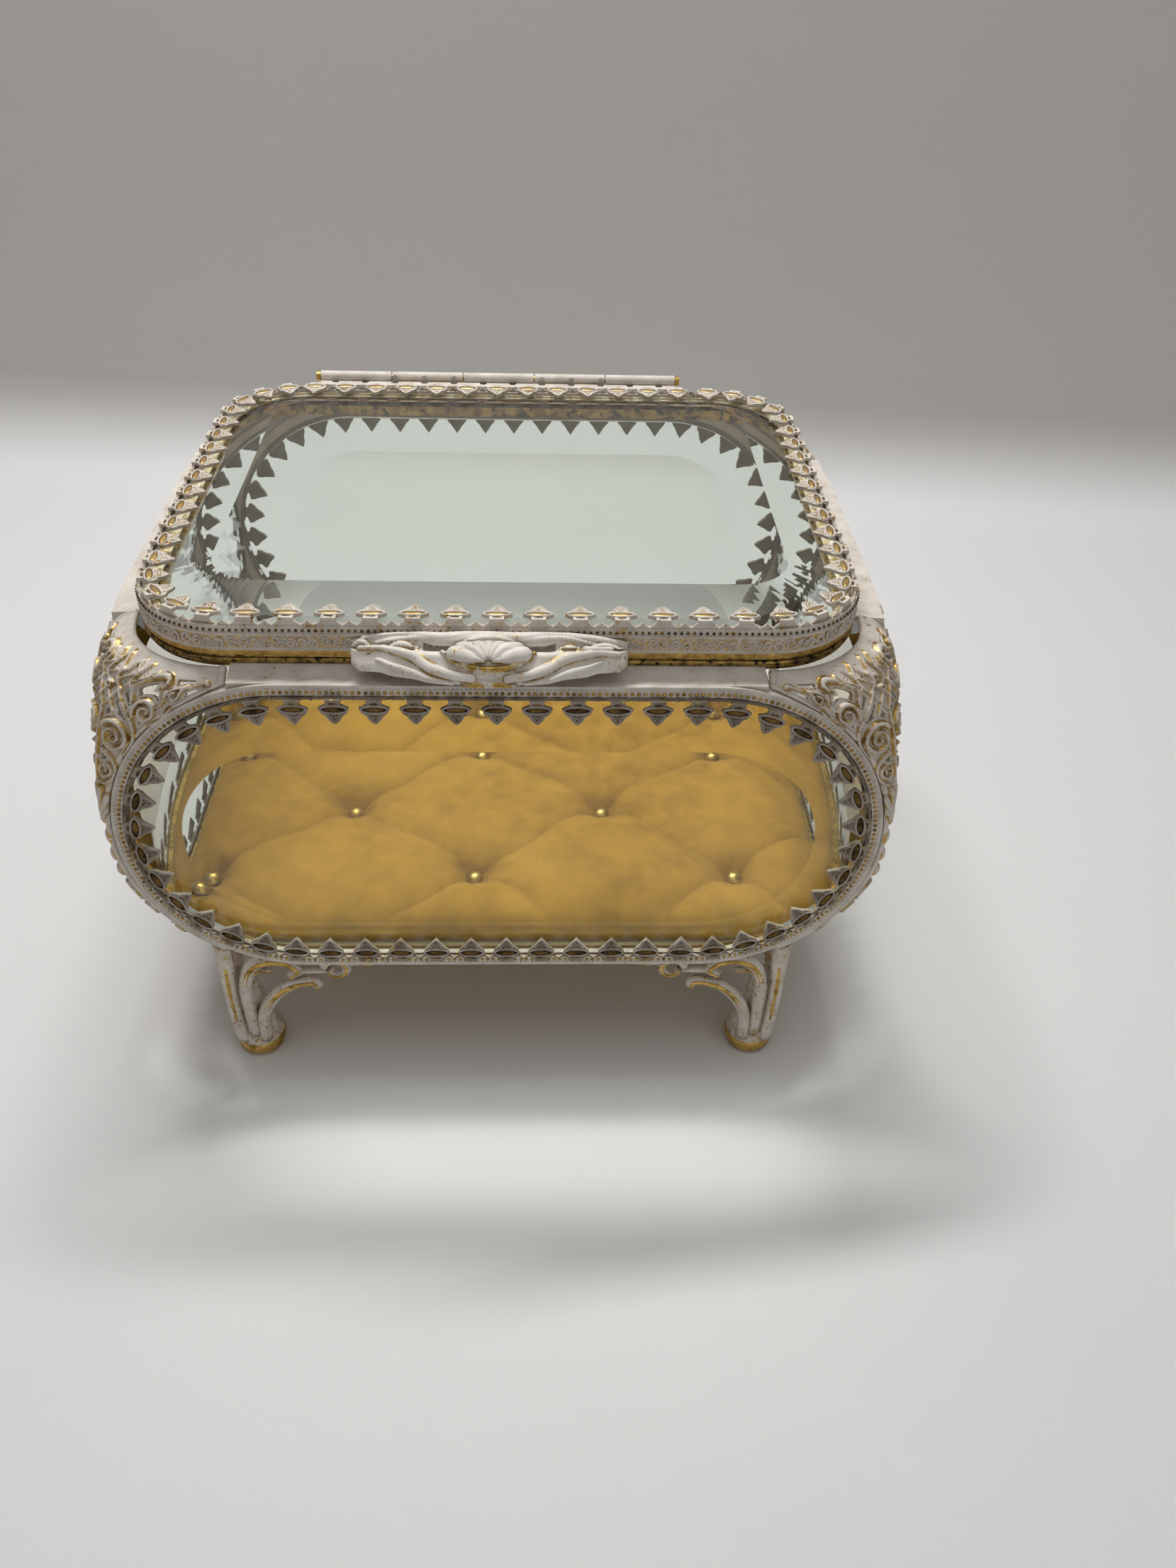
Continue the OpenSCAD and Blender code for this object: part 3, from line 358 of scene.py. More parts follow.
class Shell:
    """Points and faces of a piece, in millimetres before the shift to the shared frame."""

    def __init__(self):
        self.points = []
        self.faces = []

    def add(self, points, faces):
        base = len(self.points)
        self.points.extend(Vector(p) for p in points)
        self.faces.extend(tuple(base + i for i in f) for f in faces)

    def sweep(self, path, ups, profile, closed=False, taper=None):
        """Carries a cross-section, points across and up, along a path."""
        count, ring = len(path), len(profile)
        points = []
        for i, p in enumerate(path):
            after = path[(i + 1) % count] if closed else path[min(i + 1, count - 1)]
            before = path[i - 1] if closed else path[max(i - 1, 0)]
            along = (after - before).normalized()
            across = along.cross(ups[i]).normalized()
            up = across.cross(along)
            k = taper(i / (count - 1)) if taper else 1.0
            points.extend(p + across * (a * k) + up * (b * k) for a, b in profile)
        runs = count if closed else count - 1
        faces = [
            (i * ring + j, i * ring + (j + 1) % ring, (i + 1) % count * ring + (j + 1) % ring,
             (i + 1) % count * ring + j) for i in range(runs) for j in range(ring)]
        if not closed:
            faces.append(tuple(range(ring)))
            faces.append(tuple((count - 1) * ring + j for j in reversed(range(ring))))
        self.add(points, faces)

    def dome(self, centre, across, along, up, rx, ry, height, sides=12):
        """A low oval dome on a surface."""
        points = [centre + up * height]
        for radius, rise in ((0.6, 0.7), (1.0, -0.1)):
            for k in range(sides):
                a = around_circle(360 * k / sides) * radius
                points.append(centre + across * (rx * a.x) + along * (ry * a.y) + up * (height * rise))
        faces = [(0, 1 + k, 1 + (k + 1) % sides) for k in range(sides)]
        faces += [(1 + k, 1 + sides + k, 1 + sides + (k + 1) % sides, 1 + (k + 1) % sides) for k in range(sides)]
        faces.append(tuple(range(2 * sides, sides, -1)))
        self.add(points, faces)

    def mirrored(self, sx, sy):
        twin = Shell()
        twin.add([Vector((p.x * sx, p.y * sy, p.z)) for p in self.points], self.faces)
        return twin

    def mesh(self, name, shift=SHIFT_Y):
        move = Vector((0, shift, 0))
        return smooth_mesh(name, [(p + move) * MM for p in self.points], self.faces)


def shown(name, data):
    made = bpy.data.objects.new(name, data)
    bpy.context.scene.collection.objects.link(made)
    return made


def piece(name, data, finish, body):
    made = shown(name, data)
    data.materials.clear()
    data.materials.append(FINISH[finish])
    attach(made, body)
    return made


def half_round(width, height, sink=0.3, sides=6):
    """Cross-section of a moulding: a half oval over a foot that goes into the surface."""
    arc = (around_circle(180 * k / sides) for k in range(sides + 1))
    return [(width * a.x, height * max(a.y, 0.0)) for a in arc] + [(-width * 0.8, -sink), (width * 0.8, -sink)]


def turned(degrees, axis="Z"):
    return Matrix.Rotation(math.radians(degrees), 4, axis)


def moved(x, y, z):
    return Matrix.Translation((x, y, z))


def around_circle(degrees):
    a = math.radians(degrees)
    return Vector((math.cos(a), math.sin(a)))


def smooth_path(points, steps=5):
    """A Catmull-Rom curve through the given points, flat ones at height 0."""
    pts = [Vector((*p, 0)[:3]) for p in points]
    pts = [2 * pts[0] - pts[1]] + pts + [2 * pts[-1] - pts[-2]]
    out = []
    for i in range(1, len(pts) - 2):
        a, b, c, d = pts[i - 1 : i + 3]
        for k in range(steps):
            t = k / steps
            bend = (2 * a - 5 * b + 4 * c - d) * t * t + (3 * b - a - 3 * c + d) * t ** 3
            out.append(0.5 * (2 * b + (c - a) * t + bend))
    return out + [pts[-2]]


def curl(centre, r0, r1, start, turn, steps):
    shares = [i / steps for i in range(steps + 1)]
    return [Vector(centre) + (r0 + (r1 - r0) * k) * around_circle(start + turn * k) for k in shares]


def bow(a, m, b, steps):
    a, m, b = Vector(a), Vector(m), Vector(b)
    return [(1 - k) ** 2 * a + 2 * k * (1 - k) * m + k * k * b for k in (i / steps for i in range(steps + 1))]


# ---------------------------------------------------------------- rings and stations
def round_at(w, d, r, s):
    """Point at distance s round a rounded rectangle, and the angle of its outward normal in degrees."""
    lx, ly, q = w - 2 * r, d - 2 * r, math.pi * r / 2
    total = 2 * (lx + ly) + 4 * q
    s = s % total
    turns = ((lx / 2, -ly / 2, -90), (lx / 2, ly / 2, 0), (-lx / 2, ly / 2, 90), (-lx / 2, -ly / 2, 180))
    for cx, cy, start in turns:
        run = lx if start in (-90, 90) else ly
        centre = Vector((cx, cy))
        if s < run:
            return centre + r * around_circle(start) + around_circle(start + 90) * (s - run), start
        s -= run
        if s < q:
            angle = start + s / q * 90
            return centre + r * around_circle(angle), angle
        s -= q
    return round_at(w, d, r, 0)


def round_length(w, d, r):
    return 2 * (w + d - 4 * r) + 2 * math.pi * r


def around(w, d, r, count, start=0.0):
    """Even steps round a rounded rectangle: each point, and the angle of its outward normal."""
    step = round_length(w, d, r) / count
    return [round_at(w, d, r, (i + start) * step) for i in range(count)]


def side_matrix(side):
    """Stands what is drawn for a window, outside towards +Z, on its side of the box."""
    spin = {"front": 0, "back": 180, "left": -90, "right": 90}[side]
    reach = FRONT_Y if side in ("front", "back") else SIDE_X
    return turned(spin) @ moved(0, -reach, WIN_Z) @ turned(90, "X")


SIDES = {"front": FRONT_HALF, "back": FRONT_HALF, "left": SIDE_HALF, "right": SIDE_HALF}
TO_FRAME = moved(0, SHIFT_Y, 0)


def prong_stations(w, d, r, count, drop, base):
    """Place and turn of each prong's upper face."""
    # How far a straight strip cuts the corner between two prongs
    sag = (round_length(w, d, r) / count) ** 2 / (8 * r)
    tilt = Matrix.Rotation(-math.atan(drop / PRONG_REACH), 4, "X")
    stations = []
    for at, angle in around(w, d, r, count, 0.5):
        inset = 0.06 + (sag if angle % 90 else 0)
        foot = base @ moved(at.x, at.y, 0) @ turned(angle + 90) @ moved(0, inset, 0)
        stations.append(foot @ tilt @ moved(0, 0, EDGE_T * 1.4))
    return stations


def window_stations(side):
    half = SIDES[side]
    reach = PRONG_REACH - STRIP_T - 0.1
    drop = EDGE_OUT + PANE_SET - reach * PANE_RISE / PANE_BEVEL - 0.05
    count = round(round_length(2 * half, 2 * WIN_R, WIN_R) / PRONG_PITCH)
    base = side_matrix(side) @ moved(0, 0, EDGE_OUT)
    return prong_stations(2 * half, 2 * WIN_R, WIN_R - 0.01, count, drop, base)


def lid_stations():
    drop = LID_TOP - LID_GLASS_TOP - (PRONG_REACH - GLASS_IN) * LID_PANE_RISE / LID_BEVEL - 0.05
    return prong_stations(LID_W, LID_D, LID_R, LID_PRONGS, drop, moved(0, 0, LID_TOP))


# ---------------------------------------------------------------- repeats, made with geometry nodes
def new_tree(name, **inputs):
    """A tree that takes geometry first and a finish last, and its input sockets."""
    tree = bpy.data.node_groups.new(name, "GeometryNodeTree")
    for title, kind in {"Geometry": "Geometry", **inputs, "Finish": "Material"}.items():
        tree.interface.new_socket(name=title, in_out="INPUT", socket_type="NodeSocket" + kind)
    tree.interface.new_socket(name="Geometry", in_out="OUTPUT", socket_type="NodeSocketGeometry")
    return tree, tree.nodes.new("NodeGroupInput").outputs


def grow(tree, kind, settings=None, inputs=None):
    """Adds a node and gives its output sockets."""
    made = tree.nodes.new(kind)
    for key, value in (settings or {}).items():
        setattr(made, key, value)
    for key, value in (inputs or {}).items():
        if isinstance(value, bpy.types.NodeSocket):
            tree.links.new(value, made.inputs[key])
        else:
            made.inputs[key].default_value = value
    return made.outputs


def dress(tree, given, places):
    """Puts instances on points, makes them real and gives them the finish."""
    put = grow(tree, "GeometryNodeInstanceOnPoints", {}, places)
    real = grow(tree, "GeometryNodeRealizeInstances", {}, {0: put[0]})
    dressed = grow(tree, "GeometryNodeSetMaterial", {}, {0: real[0], "Material": given["Finish"]})
    grow(tree, "NodeGroupOutput", {}, {0: dressed[0]})
    return tree


def station_tree():
    """Puts an ornament on every point, turned by the point's own angles."""
    tree, given = new_tree("ornament on stations", Ornament="Object", Size="Float")
    turn = grow(tree, "GeometryNodeInputNamedAttribute", {"data_type": "FLOAT_VECTOR"}, {"Name": "turn"})
    spin = grow(tree, "FunctionNodeEulerToRotation", {}, {0: turn["Attribute"]})
    shape = grow(tree, "GeometryNodeObjectInfo", {}, {"Object": given["Ornament"]})
    return dress(tree, given, {
        "Points": given["Geometry"], "Instance": shape["Geometry"], "Rotation": spin[0], "Scale": given["Size"]})


def bead_tree():
    """Strings round beads along closed wires."""
    tree, given = new_tree("beads along a wire", Pitch="Float", Radius="Float", Fineness="Int")
    wire = grow(tree, "GeometryNodeMeshToCurve", {}, {0: given["Geometry"]})
    even = grow(tree, "GeometryNodeResampleCurve", {"mode": "LENGTH"}, {0: wire[0], "Length": given["Pitch"]})
    size = {"Radius": given["Radius"], "Subdivisions": given["Fineness"]}
    ball = grow(tree, "GeometryNodeMeshIcoSphere", {}, size)
    soft = grow(tree, "GeometryNodeSetShadeSmooth", {}, {0: ball[0]})
    return dress(tree, given, {"Points": even[0], "Instance": soft[0]})


STATIONS = station_tree()
BEADS = bead_tree()


def grown(name, host_mesh, tree, values, finish, body):
    """Runs a tree on a host mesh and keeps the result as a plain piece."""
    host = shown(name + "_host", host_mesh)
    step = host.modifiers.new("grow", "NODES")
    step.node_group = tree
    sockets = {s.name: s.identifier for s in tree.interface.items_tree if s.in_out == "INPUT"}
    for title, value in {**values, "Finish": FINISH[finish]}.items():
        step[sockets[title]] = value
    host.update_tag()
    bpy.context.view_layer.update()
    graph = bpy.context.evaluated_depsgraph_get()
    data = bpy.data.meshes.new_from_object(host.evaluated_get(graph), depsgraph=graph)
    bpy.data.objects.remove(host)
    data.name = name
    return piece(name, data, finish, body)


def on_stations(name, stations, ornament, finish, body, size=1.0):
    """One ornament, a Shell in its own millimetres, on every station."""
    host_mesh = bpy.data.meshes.new(name + "_stations")
    placed = [TO_FRAME @ m for m in stations]
    host_mesh.from_pydata([m.translation * MM for m in placed], [], [])
    turns = host_mesh.attributes.new("turn", "FLOAT_VECTOR", "POINT")
    for item, m in zip(turns.data, placed):
        item.vector = m.to_euler()
    shape = shown(name + "_shape", ornament.mesh(name + "_shape", shift=0))
    made = grown(name, host_mesh, STATIONS, {"Ornament": shape, "Size": size}, finish, body)
    bpy.data.objects.remove(shape)
    return made


def beads(name, loops, pitch, radius, finish, body, fineness=1):
    """Beads along closed loops of points in millimetres."""
    points, edges = [], []
    for loop in loops:
        base = len(points)
        points.extend((p + Vector((0, SHIFT_Y, 0))) * MM for p in loop)
        edges.extend((base + i, base + (i + 1) % len(loop)) for i in range(len(loop)))
    host_mesh = bpy.data.meshes.new(name + "_wire")
    host_mesh.from_pydata(points, edges, [])
    values = {"Pitch": pitch * MM, "Radius": radius * MM, "Fineness": fineness}
    return grown(name, host_mesh, BEADS, values, finish, body)


def window_loop(side, out, rise, steps=240):
    """Loop round a window at a distance outside its scalloped edge."""
    half = SIDES[side] + out
    r = WIN_R + out
    m = side_matrix(side) @ moved(0, 0, rise)
    return [m @ at.to_3d() for at, _ in around(2 * half, 2 * r, r - 0.001, steps)]


def ring_loop(w, d, r, z, steps=360):
    return [Vector((at.x, at.y, z)) for at, _ in around(w, d, r, steps)]


UP = Vector((0, 0, 1))
ACROSS = Vector((1, 0, 0))
ALONG = Vector((0, 1, 0))


def oval_path(cx, cy, rx, ry, steps):
    turns = (around_circle(360 * k / steps) for k in range(steps))
    return [Vector((cx + rx * t.x, cy + ry * t.y, 0)) for t in turns]


def prong_dress():
    """Raised border, gilt oval, dark neck and dotted tip of one prong."""
    border = Shell()
    border.sweep(oval_path(0, 1.9, 2.2, 0.78, 16), [UP] * 16, half_round(0.2, 0.22, 0.1, 3), closed=True)
    tip = smooth_path([(-1.15, 2.75), (-1.05, 3.7), (0, 4.9), (1.05, 3.7), (1.15, 2.75)], 3)
    border.sweep(tip, [UP] * len(tip), half_round(0.16, 0.18, 0.1, 3))
    oval = Shell()
    oval.dome(Vector((0, 1.9, 0.02)), ACROSS, ALONG, UP, 2.0, 0.62, 0.12)
    for x, y in ((0, 3.3), (-0.5, 3.15), (0.5, 3.15), (0, 4.1)):
        oval.dome(Vector((x, y, 0)), ACROSS, ALONG, UP, 0.2, 0.2, 0.14, 6)
    # Dark domes of the recessed neck and dots: painted shade
    dark = Shell()
    dark.dome(Vector((0, 0.75, 0)), ACROSS, ALONG, UP, 0.85, 0.3, 0.05, 8)
    for x in (-0.28, 0.28):
        dark.dome(Vector((x, 3.7, 0)), ACROSS, ALONG, UP, 0.17, 0.17, 0.08, 6)
    return {"border": border, "oval": oval, "dark": dark}


window_places = [m for side in SIDES for m in window_stations(side)]
# The window prongs take paint, borders and ovals darkened as painted shade
WINDOW_DRESS = {"border": "worn_and_shaded", "oval": "oval", "dark": "dark"}
LID_DRESS = {"border": "scroll", "oval": "pale_oval", "dark": "dark"}
for part_name, shape in prong_dress().items():
    on_stations(f"window_prong_{part_name}", window_places, shape, WINDOW_DRESS[part_name], "base")
    on_stations(f"lid_prong_{part_name}", lid_stations(), shape, LID_DRESS[part_name], "lid")

# Dotted strips round the windows: large gilt beads and a finer row outside them
beads("window_beads", [window_loop(s, 0.62, 0.02) for s in SIDES], 1.05, 0.36, "gilt", "base")
beads("window_fine_beads", [window_loop(s, 1.3, 0.0) for s in SIDES], 0.72, 0.24, "scroll", "base")
# Pierced dots and ridge of the lid band; the pierced dots are dark beads, painted shade in place of the holes
beads("lid_dots", [ring_loop(LID_W + 0.1, LID_D + 0.1, LID_R, 98.2)], 1.05, 0.3, "dark", "lid")
beads("lid_fine_dots", [ring_loop(LID_W, LID_D, LID_R, 98.9)], 0.7, 0.14, "scroll", "lid")


def ring_moulding(w, d, r, z, profile, steps=300):
    shell = Shell()
    outs = [around_circle(angle).to_3d() for _, angle in around(w, d, r, steps)]
    shell.sweep(ring_loop(w, d, r, z, steps), outs, profile, closed=True)
    return shell


lid_ridge = ring_moulding(LID_W, LID_D, LID_R, RIDGE_Z, half_round(0.22, 0.25, 0.05, 4))
piece("lid_ridge", lid_ridge.mesh("lid_ridge"), "scroll", "lid")


def band_motif():
    """One scroll of the lid band, drawn with +Y up and +Z out."""
    flat = [p.to_3d() for p in curl((-0.7, 0.05), 0.25, 0.95, 160, -420, 16)]
    tail = smooth_path([flat[-1], (0.9, -0.7), (1.6, -0.2), (1.9, 0.6)], 3)
    scroll = Shell()
    line = flat + tail[1:]
    scroll.sweep(line, [UP] * len(line), half_round(0.2, 0.24, 0.05, 3))
    for a, b, c in (((0.3, 0.1), (0.9, 0.8), (1.5, 0.95)), ((0.4, -0.1), (1.0, 0.2), (1.4, 0.2))):
        leaf = [v.to_3d() for v in bow(a, b, c, 4)]
        scroll.sweep(leaf, [UP] * 5, half_round(0.26, 0.22, 0.05, 3), taper=lambda k: 1.1 - 0.7 * k)
    return scroll


def band_stations():
    count = round(round_length(LID_W, LID_D, LID_R) / SCROLL_PITCH)
    # Every second scroll is upside down
    return [
        moved(at.x, at.y, SCROLL_Z) @ turned(angle + 90) @ turned(90, "X") @ turned(180 * (i % 2))
        for i, (at, angle) in enumerate(around(LID_W, LID_D, LID_R, count, 0.5))]


on_stations("lid_scrolls", band_stations(), band_motif(), "scroll", "lid")


# ---------------------------------------------------------------- filigree corners
def mixed(a, b, k):
    return a + (b - a) * k


def arc_reach(z):
    return math.sqrt(max((BORDER_R + SEAM) ** 2 - (z - WIN_Z) ** 2, 0))


def corner_section(z):
    k = 1.0
    if z > SHOULDER_Z:
        k = max(math.cos(math.pi / 2 * min((z - SHOULDER_Z) / (RIM_TOP - SHOULDER_Z), 1)), 0) ** 0.45
    yf = mixed(RIM_D / 2 + RIM_CLEAR, FRONT_Y, k)
    xs = mixed(RIM_W / 2 + RIM_CLEAR, SIDE_X, k)
    a = Vector((max(FRONT_HALF - WIN_R + arc_reach(z), TURN_X + SEAM), yf))
    b = Vector((xs, max(SIDE_HALF - WIN_R + arc_reach(z), TURN_Y + SEAM)))
    return a, b, min(RIM_R + RIM_CLEAR, 0.96 * min(b.x - a.x, a.y - b.y))


def corner_length(z):
    a, b, r = corner_section(z)
    return b.x - a.x + a.y - b.y - (2 - math.pi / 2) * r


def corner_at(d, z):
    a, b, r = corner_section(z)
    turn = math.pi * r / 2
    total = corner_length(z)
    t = min(max(d + total / 2, 0), total)
    run = b.x - r - a.x
    if t < run:
        p = Vector((a.x + t, a.y))
    elif t < run + turn:
        p = Vector((b.x - r + r * math.sin((t - run) / r), a.y - r + r * math.cos((t - run) / r)))
    else:
        p = Vector((b.x, a.y - r - (t - run - turn)))
    flat = 0.85 * min(max((WIN_Z - 3 - z) / 16, 0), 1)
    q = p.lerp(a.lerp(b, t / total), flat)
    return Vector((q.x, q.y, z))


CORNERS = {"front_left": (-1, -1), "front_right": (1, -1), "back_left": (-1, 1), "back_right": (1, 1)}
FIL_FOOT_ANGLE, FIL_TOP_ANGLE = -60, 72
FIL_TOP = RIM_TOP - 0.1
SHELL_T = 0.9
# Solid background kept round each scroll, and along the corner's edges, between the openings
FIL_GROUND = 0.42
FIL_MARGIN = 1.7


def through(*points):
    return [p.to_2d() for p in smooth_path(points, 6)]


def filigree_strokes():
    """Scrolls of half a corner: path in distance from the middle line and height over the window's centre,
    half width at the start and at the end, and relief."""
    strokes = [
        # Volutes of the upper part, from the largest to the curled tip beside the lid
        (curl((3.6, 20.9), 2.85, 0.3, 150, -700, 44), 0.46, 0.26, 0.85),
        (curl((8.6, 26.1), 2.05, 0.25, 205, -620, 38), 0.42, 0.24, 0.8),
        (curl((12.5, 29.2), 1.2, 0.2, 190, -540, 30), 0.38, 0.22, 0.75),
        (curl((2.0, 14.5), 1.4, 0.2, 60, -560, 30), 0.36, 0.22, 0.7),
        (through((0, 11.5), (2.4, 12.2), (3.9, 14.2), (3.6, 16.8), (1.6, 18.2)), 0.3, 0.4, 0.7),
        (through((5.6, 18.0), (7.0, 20.6), (7.0, 23.2), (6.3, 24.6)), 0.3, 0.42, 0.7),
        (through((6.2, 27.4), (5.4, 29.2), (6.4, 31.0), (8.4, 31.2), (9.6, 30.2)), 0.3, 0.4, 0.75),
        (through((9.6, 23.9), (11.4, 25.2), (12.6, 27.0)), 0.26, 0.4, 0.6),
        (through((10.6, 27.0), (11.2, 28.2), (10.8, 29.6)), 0.22, 0.34, 0.6),
        (through((13.6, 30.4), (14.6, 30.9), (15.6, 30.6)), 0.34, 0.2, 0.5),
        # Middle stem
        (through((0, 9.5), (0, 24.6)), 0.34, 0.34, 0.6),
        # Scrolls of the lower part
        (curl((2.6, -17.4), 1.9, 0.25, -150, 640, 36), 0.42, 0.24, 0.8),
        (curl((6.4, -22.4), 1.5, 0.2, -160, 560, 30), 0.38, 0.22, 0.75),
        (through((0, -11.4), (1.7, -12.6), (2.4, -14.4), (1.2, -15.8)), 0.36, 0.34, 0.75),
        (through((0.4, -19.6), (1.4, -21.8), (3.6, -22.6), (4.8, -21.6)), 0.3, 0.4, 0.7),
        (through((0.2, -22.4), (1.2, -24.4), (3.6, -25.4), (6.4, -25.2)), 0.34, 0.4, 0.7),
        (through((0, -15.6), (0, -26.4)), 0.34, 0.34, 0.6),
    ]
    # Trellis between the volutes and the rim
    for start, end in (((0, 24.8), (5.8, 31.4)), ((0, 27.4), (3.8, 31.8)), ((0, 30.0), (1.6, 31.8)),
                       ((5.6, 25.2), (0, 30.6)), ((2.9, 24.9), (0, 27.8)), ((5.9, 28.0), (1.8, 31.8))):
        strokes.append((through(start, end), 0.26, 0.26, 0.5))
    # Petals of the fan shell at the waist
    for i in range(4):
        petal = through((0.05 * i, 2.6), (0.55 * i, 6.4), (1.02 * i, 10.8 - 0.42 * i * i))
        strokes.append((petal, 0.22, 0.62, 0.95))
    return strokes


# Buds under the fan shell: height over the window's centre of the middle, half width, half height, relief
BUDS = ((-0.2, 1.0, 1.9, 1.1), (-4.4, 0.95, 1.8, 1.05), (-8.4, 0.85, 1.7, 1.0), (28.2, 0.7, 0.7, 0.8))


def relief(d, up, edge):
    """Height, share of gilding and openings of the filigree at points given by their distance from the
    middle line, height over the window's centre and distance to the corner's edge."""
    height = np.zeros_like(d)
    line = np.zeros_like(d)
    clear = np.full_like(d, 9.0)
    for path, start_w, end_w, rise in filigree_strokes():
        count = len(path) - 1
        near, width = np.full_like(d, 99.0), np.full_like(d, start_w)
        for k in range(count):
            (ax, ay), (bx, by) = path[k], path[k + 1]
            lx, ly = bx - ax, by - ay
            t = np.clip(((d - ax) * lx + (up - ay) * ly) / max(lx * lx + ly * ly, 1e-9), 0, 1)
            far = np.hypot(d - ax - t * lx, up - ay - t * ly)
            closer = far < near
            near = np.where(closer, far, near)
            width = np.where(closer, start_w + (end_w - start_w) * (k + t) / count, width)
        share = near / width
        ridge = rise * np.sqrt(np.clip(1 - share**2, 0, 1))
        flank = (share > 0.6) & (share < 1.5)
        line = np.where(ridge > height, np.where(flank, 1.0, 0.0), np.where(flank & (height < 0.12), 1.0, line))
        height = np.maximum(height, ridge)
        clear = np.minimum(clear, near - width)
    for middle, rx, ry, rise in BUDS:
        inside = 1 - (d / rx) ** 2 - ((up - middle) / ry) ** 2
        bud = rise * np.sqrt(np.clip(inside, 0, 1))
        line = np.where((inside > -0.45) & (inside < 0.2), 1.0, line)
        height = np.maximum(height, bud)
        clear = np.where(inside > -0.6, 0, clear)
    # Smooth lip beside the dotted border of the windows
    lip = 0.35 * np.sqrt(np.clip(1 - ((edge - 0.6) / 0.5) ** 2, 0, 1))
    height = np.maximum(height, lip)
    opening = (clear > FIL_GROUND) & (edge > FIL_MARGIN) & (np.abs(up) > 10.5) & (up < 31.2) & (up > -26)
    return height, line, opening


def normals(grid):
    """Unit normals of a surface given as a grid of points."""
    found = np.cross(np.gradient(grid, axis=0), np.gradient(grid, axis=1))
    return found / np.maximum(np.linalg.norm(found, axis=2, keepdims=True), 1e-9)


def filigree_mesh(name, columns=132, rows=236):
    """Openwork shell with scrolls in relief for the +X, +Y corner."""
    angles = np.linspace(math.radians(FIL_FOOT_ANGLE), math.radians(FIL_TOP_ANGLE), rows - 16)
    levels = list(WIN_Z + BORDER_R * np.sin(angles))
    levels += list(np.linspace(levels[-1], FIL_TOP, 18)[1:])
    base = np.zeros((len(levels), columns + 1, 3))
    d = np.zeros(base.shape[:2])
    edge = np.zeros_like(d)
    for j, z in enumerate(levels):
        length = corner_length(z)
        d[j] = (np.linspace(0, 1, columns + 1) - 0.5) * length
        edge[j] = length / 2 - np.abs(d[j])
        base[j] = [corner_at(x, z) for x in d[j]]
    up = np.repeat(np.array(levels)[:, None] - WIN_Z, columns + 1, 1)
    normal = normals(base)
    normal *= np.sign(normal[..., :1] + normal[..., 1:2])
    height, line, opening = relief(np.abs(d), up, edge)
    front = base + normal * height[..., None]
    back = base - normal * SHELL_T
    return sheet_mesh(name, front, back, opening, line)


def sheet_mesh(name, front, back, opening, line):
    """A closed sheet between two grids of points, in millimetres, with openings and the gilding in an attribute."""
    rows, row = front.shape[:2]
    count = rows * row
    kept = ~(opening[:-1, :-1] & opening[1:, 1:] & opening[:-1, 1:] & opening[1:, :-1])
    framed = np.pad(kept, 1)
    faces = []
    for j, i in zip(*np.nonzero(kept)):
        a, b, c, e = j * row + i, j * row + i + 1, (j + 1) * row + i + 1, (j + 1) * row + i
        faces.append((a, b, c, e))
        faces.append((a + count, e + count, c + count, b + count))
        sides = (((j, i + 1), a, b), ((j + 1, i + 2), b, c), ((j + 2, i + 1), c, e), ((j + 1, i), e, a))
        for beside, p, q in sides:
            if not framed[beside]:
                faces.append((q, p, p + count, q + count))
    points = np.concatenate([front.reshape(-1, 3), back.reshape(-1, 3)]) * MM
    return smooth_mesh(name, points.tolist(), faces, gilt=np.concatenate([line.reshape(-1), np.zeros(count)]))


filigree = filigree_mesh("filigree")
for corner, (sx, sy) in CORNERS.items():
    panel = filigree.copy()
    panel.name = f"filigree_{corner}"
    panel.transform(moved(0, SHIFT_Y * MM, 0) @ Matrix.Diagonal((sx, sy, 1, 1)))
    if sx * sy < 0:
        panel.flip_normals()
    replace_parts(piece(f"filigree_{corner}", panel, "filigree", "base"), f"corner_{corner}")


# ---------------------------------------------------------------- legs
def wing_at(u, z, side):
    flare = LEG_FLARE * (max(z, 0) / LEG_TOP) ** 1.5
    if side:
        return Vector((TOE_X + TOE_R - 1.4 + flare, TOE_Y + TOE_R - u, z))
    return Vector((TOE_X + TOE_R - u, TOE_Y + TOE_R - 1.4 + flare, z))


def both_sided(width, height):
    """Cross-section of a leg's scroll, rounded in front and flatter behind."""
    front = [around_circle(30 * k) for k in range(7)]
    back = [around_circle(180 + 45 * k) for k in range(1, 4)]
    return [(width * a.x, height * a.y) for a in front] + [(width * a.x, 0.75 * height * a.y) for a in back]


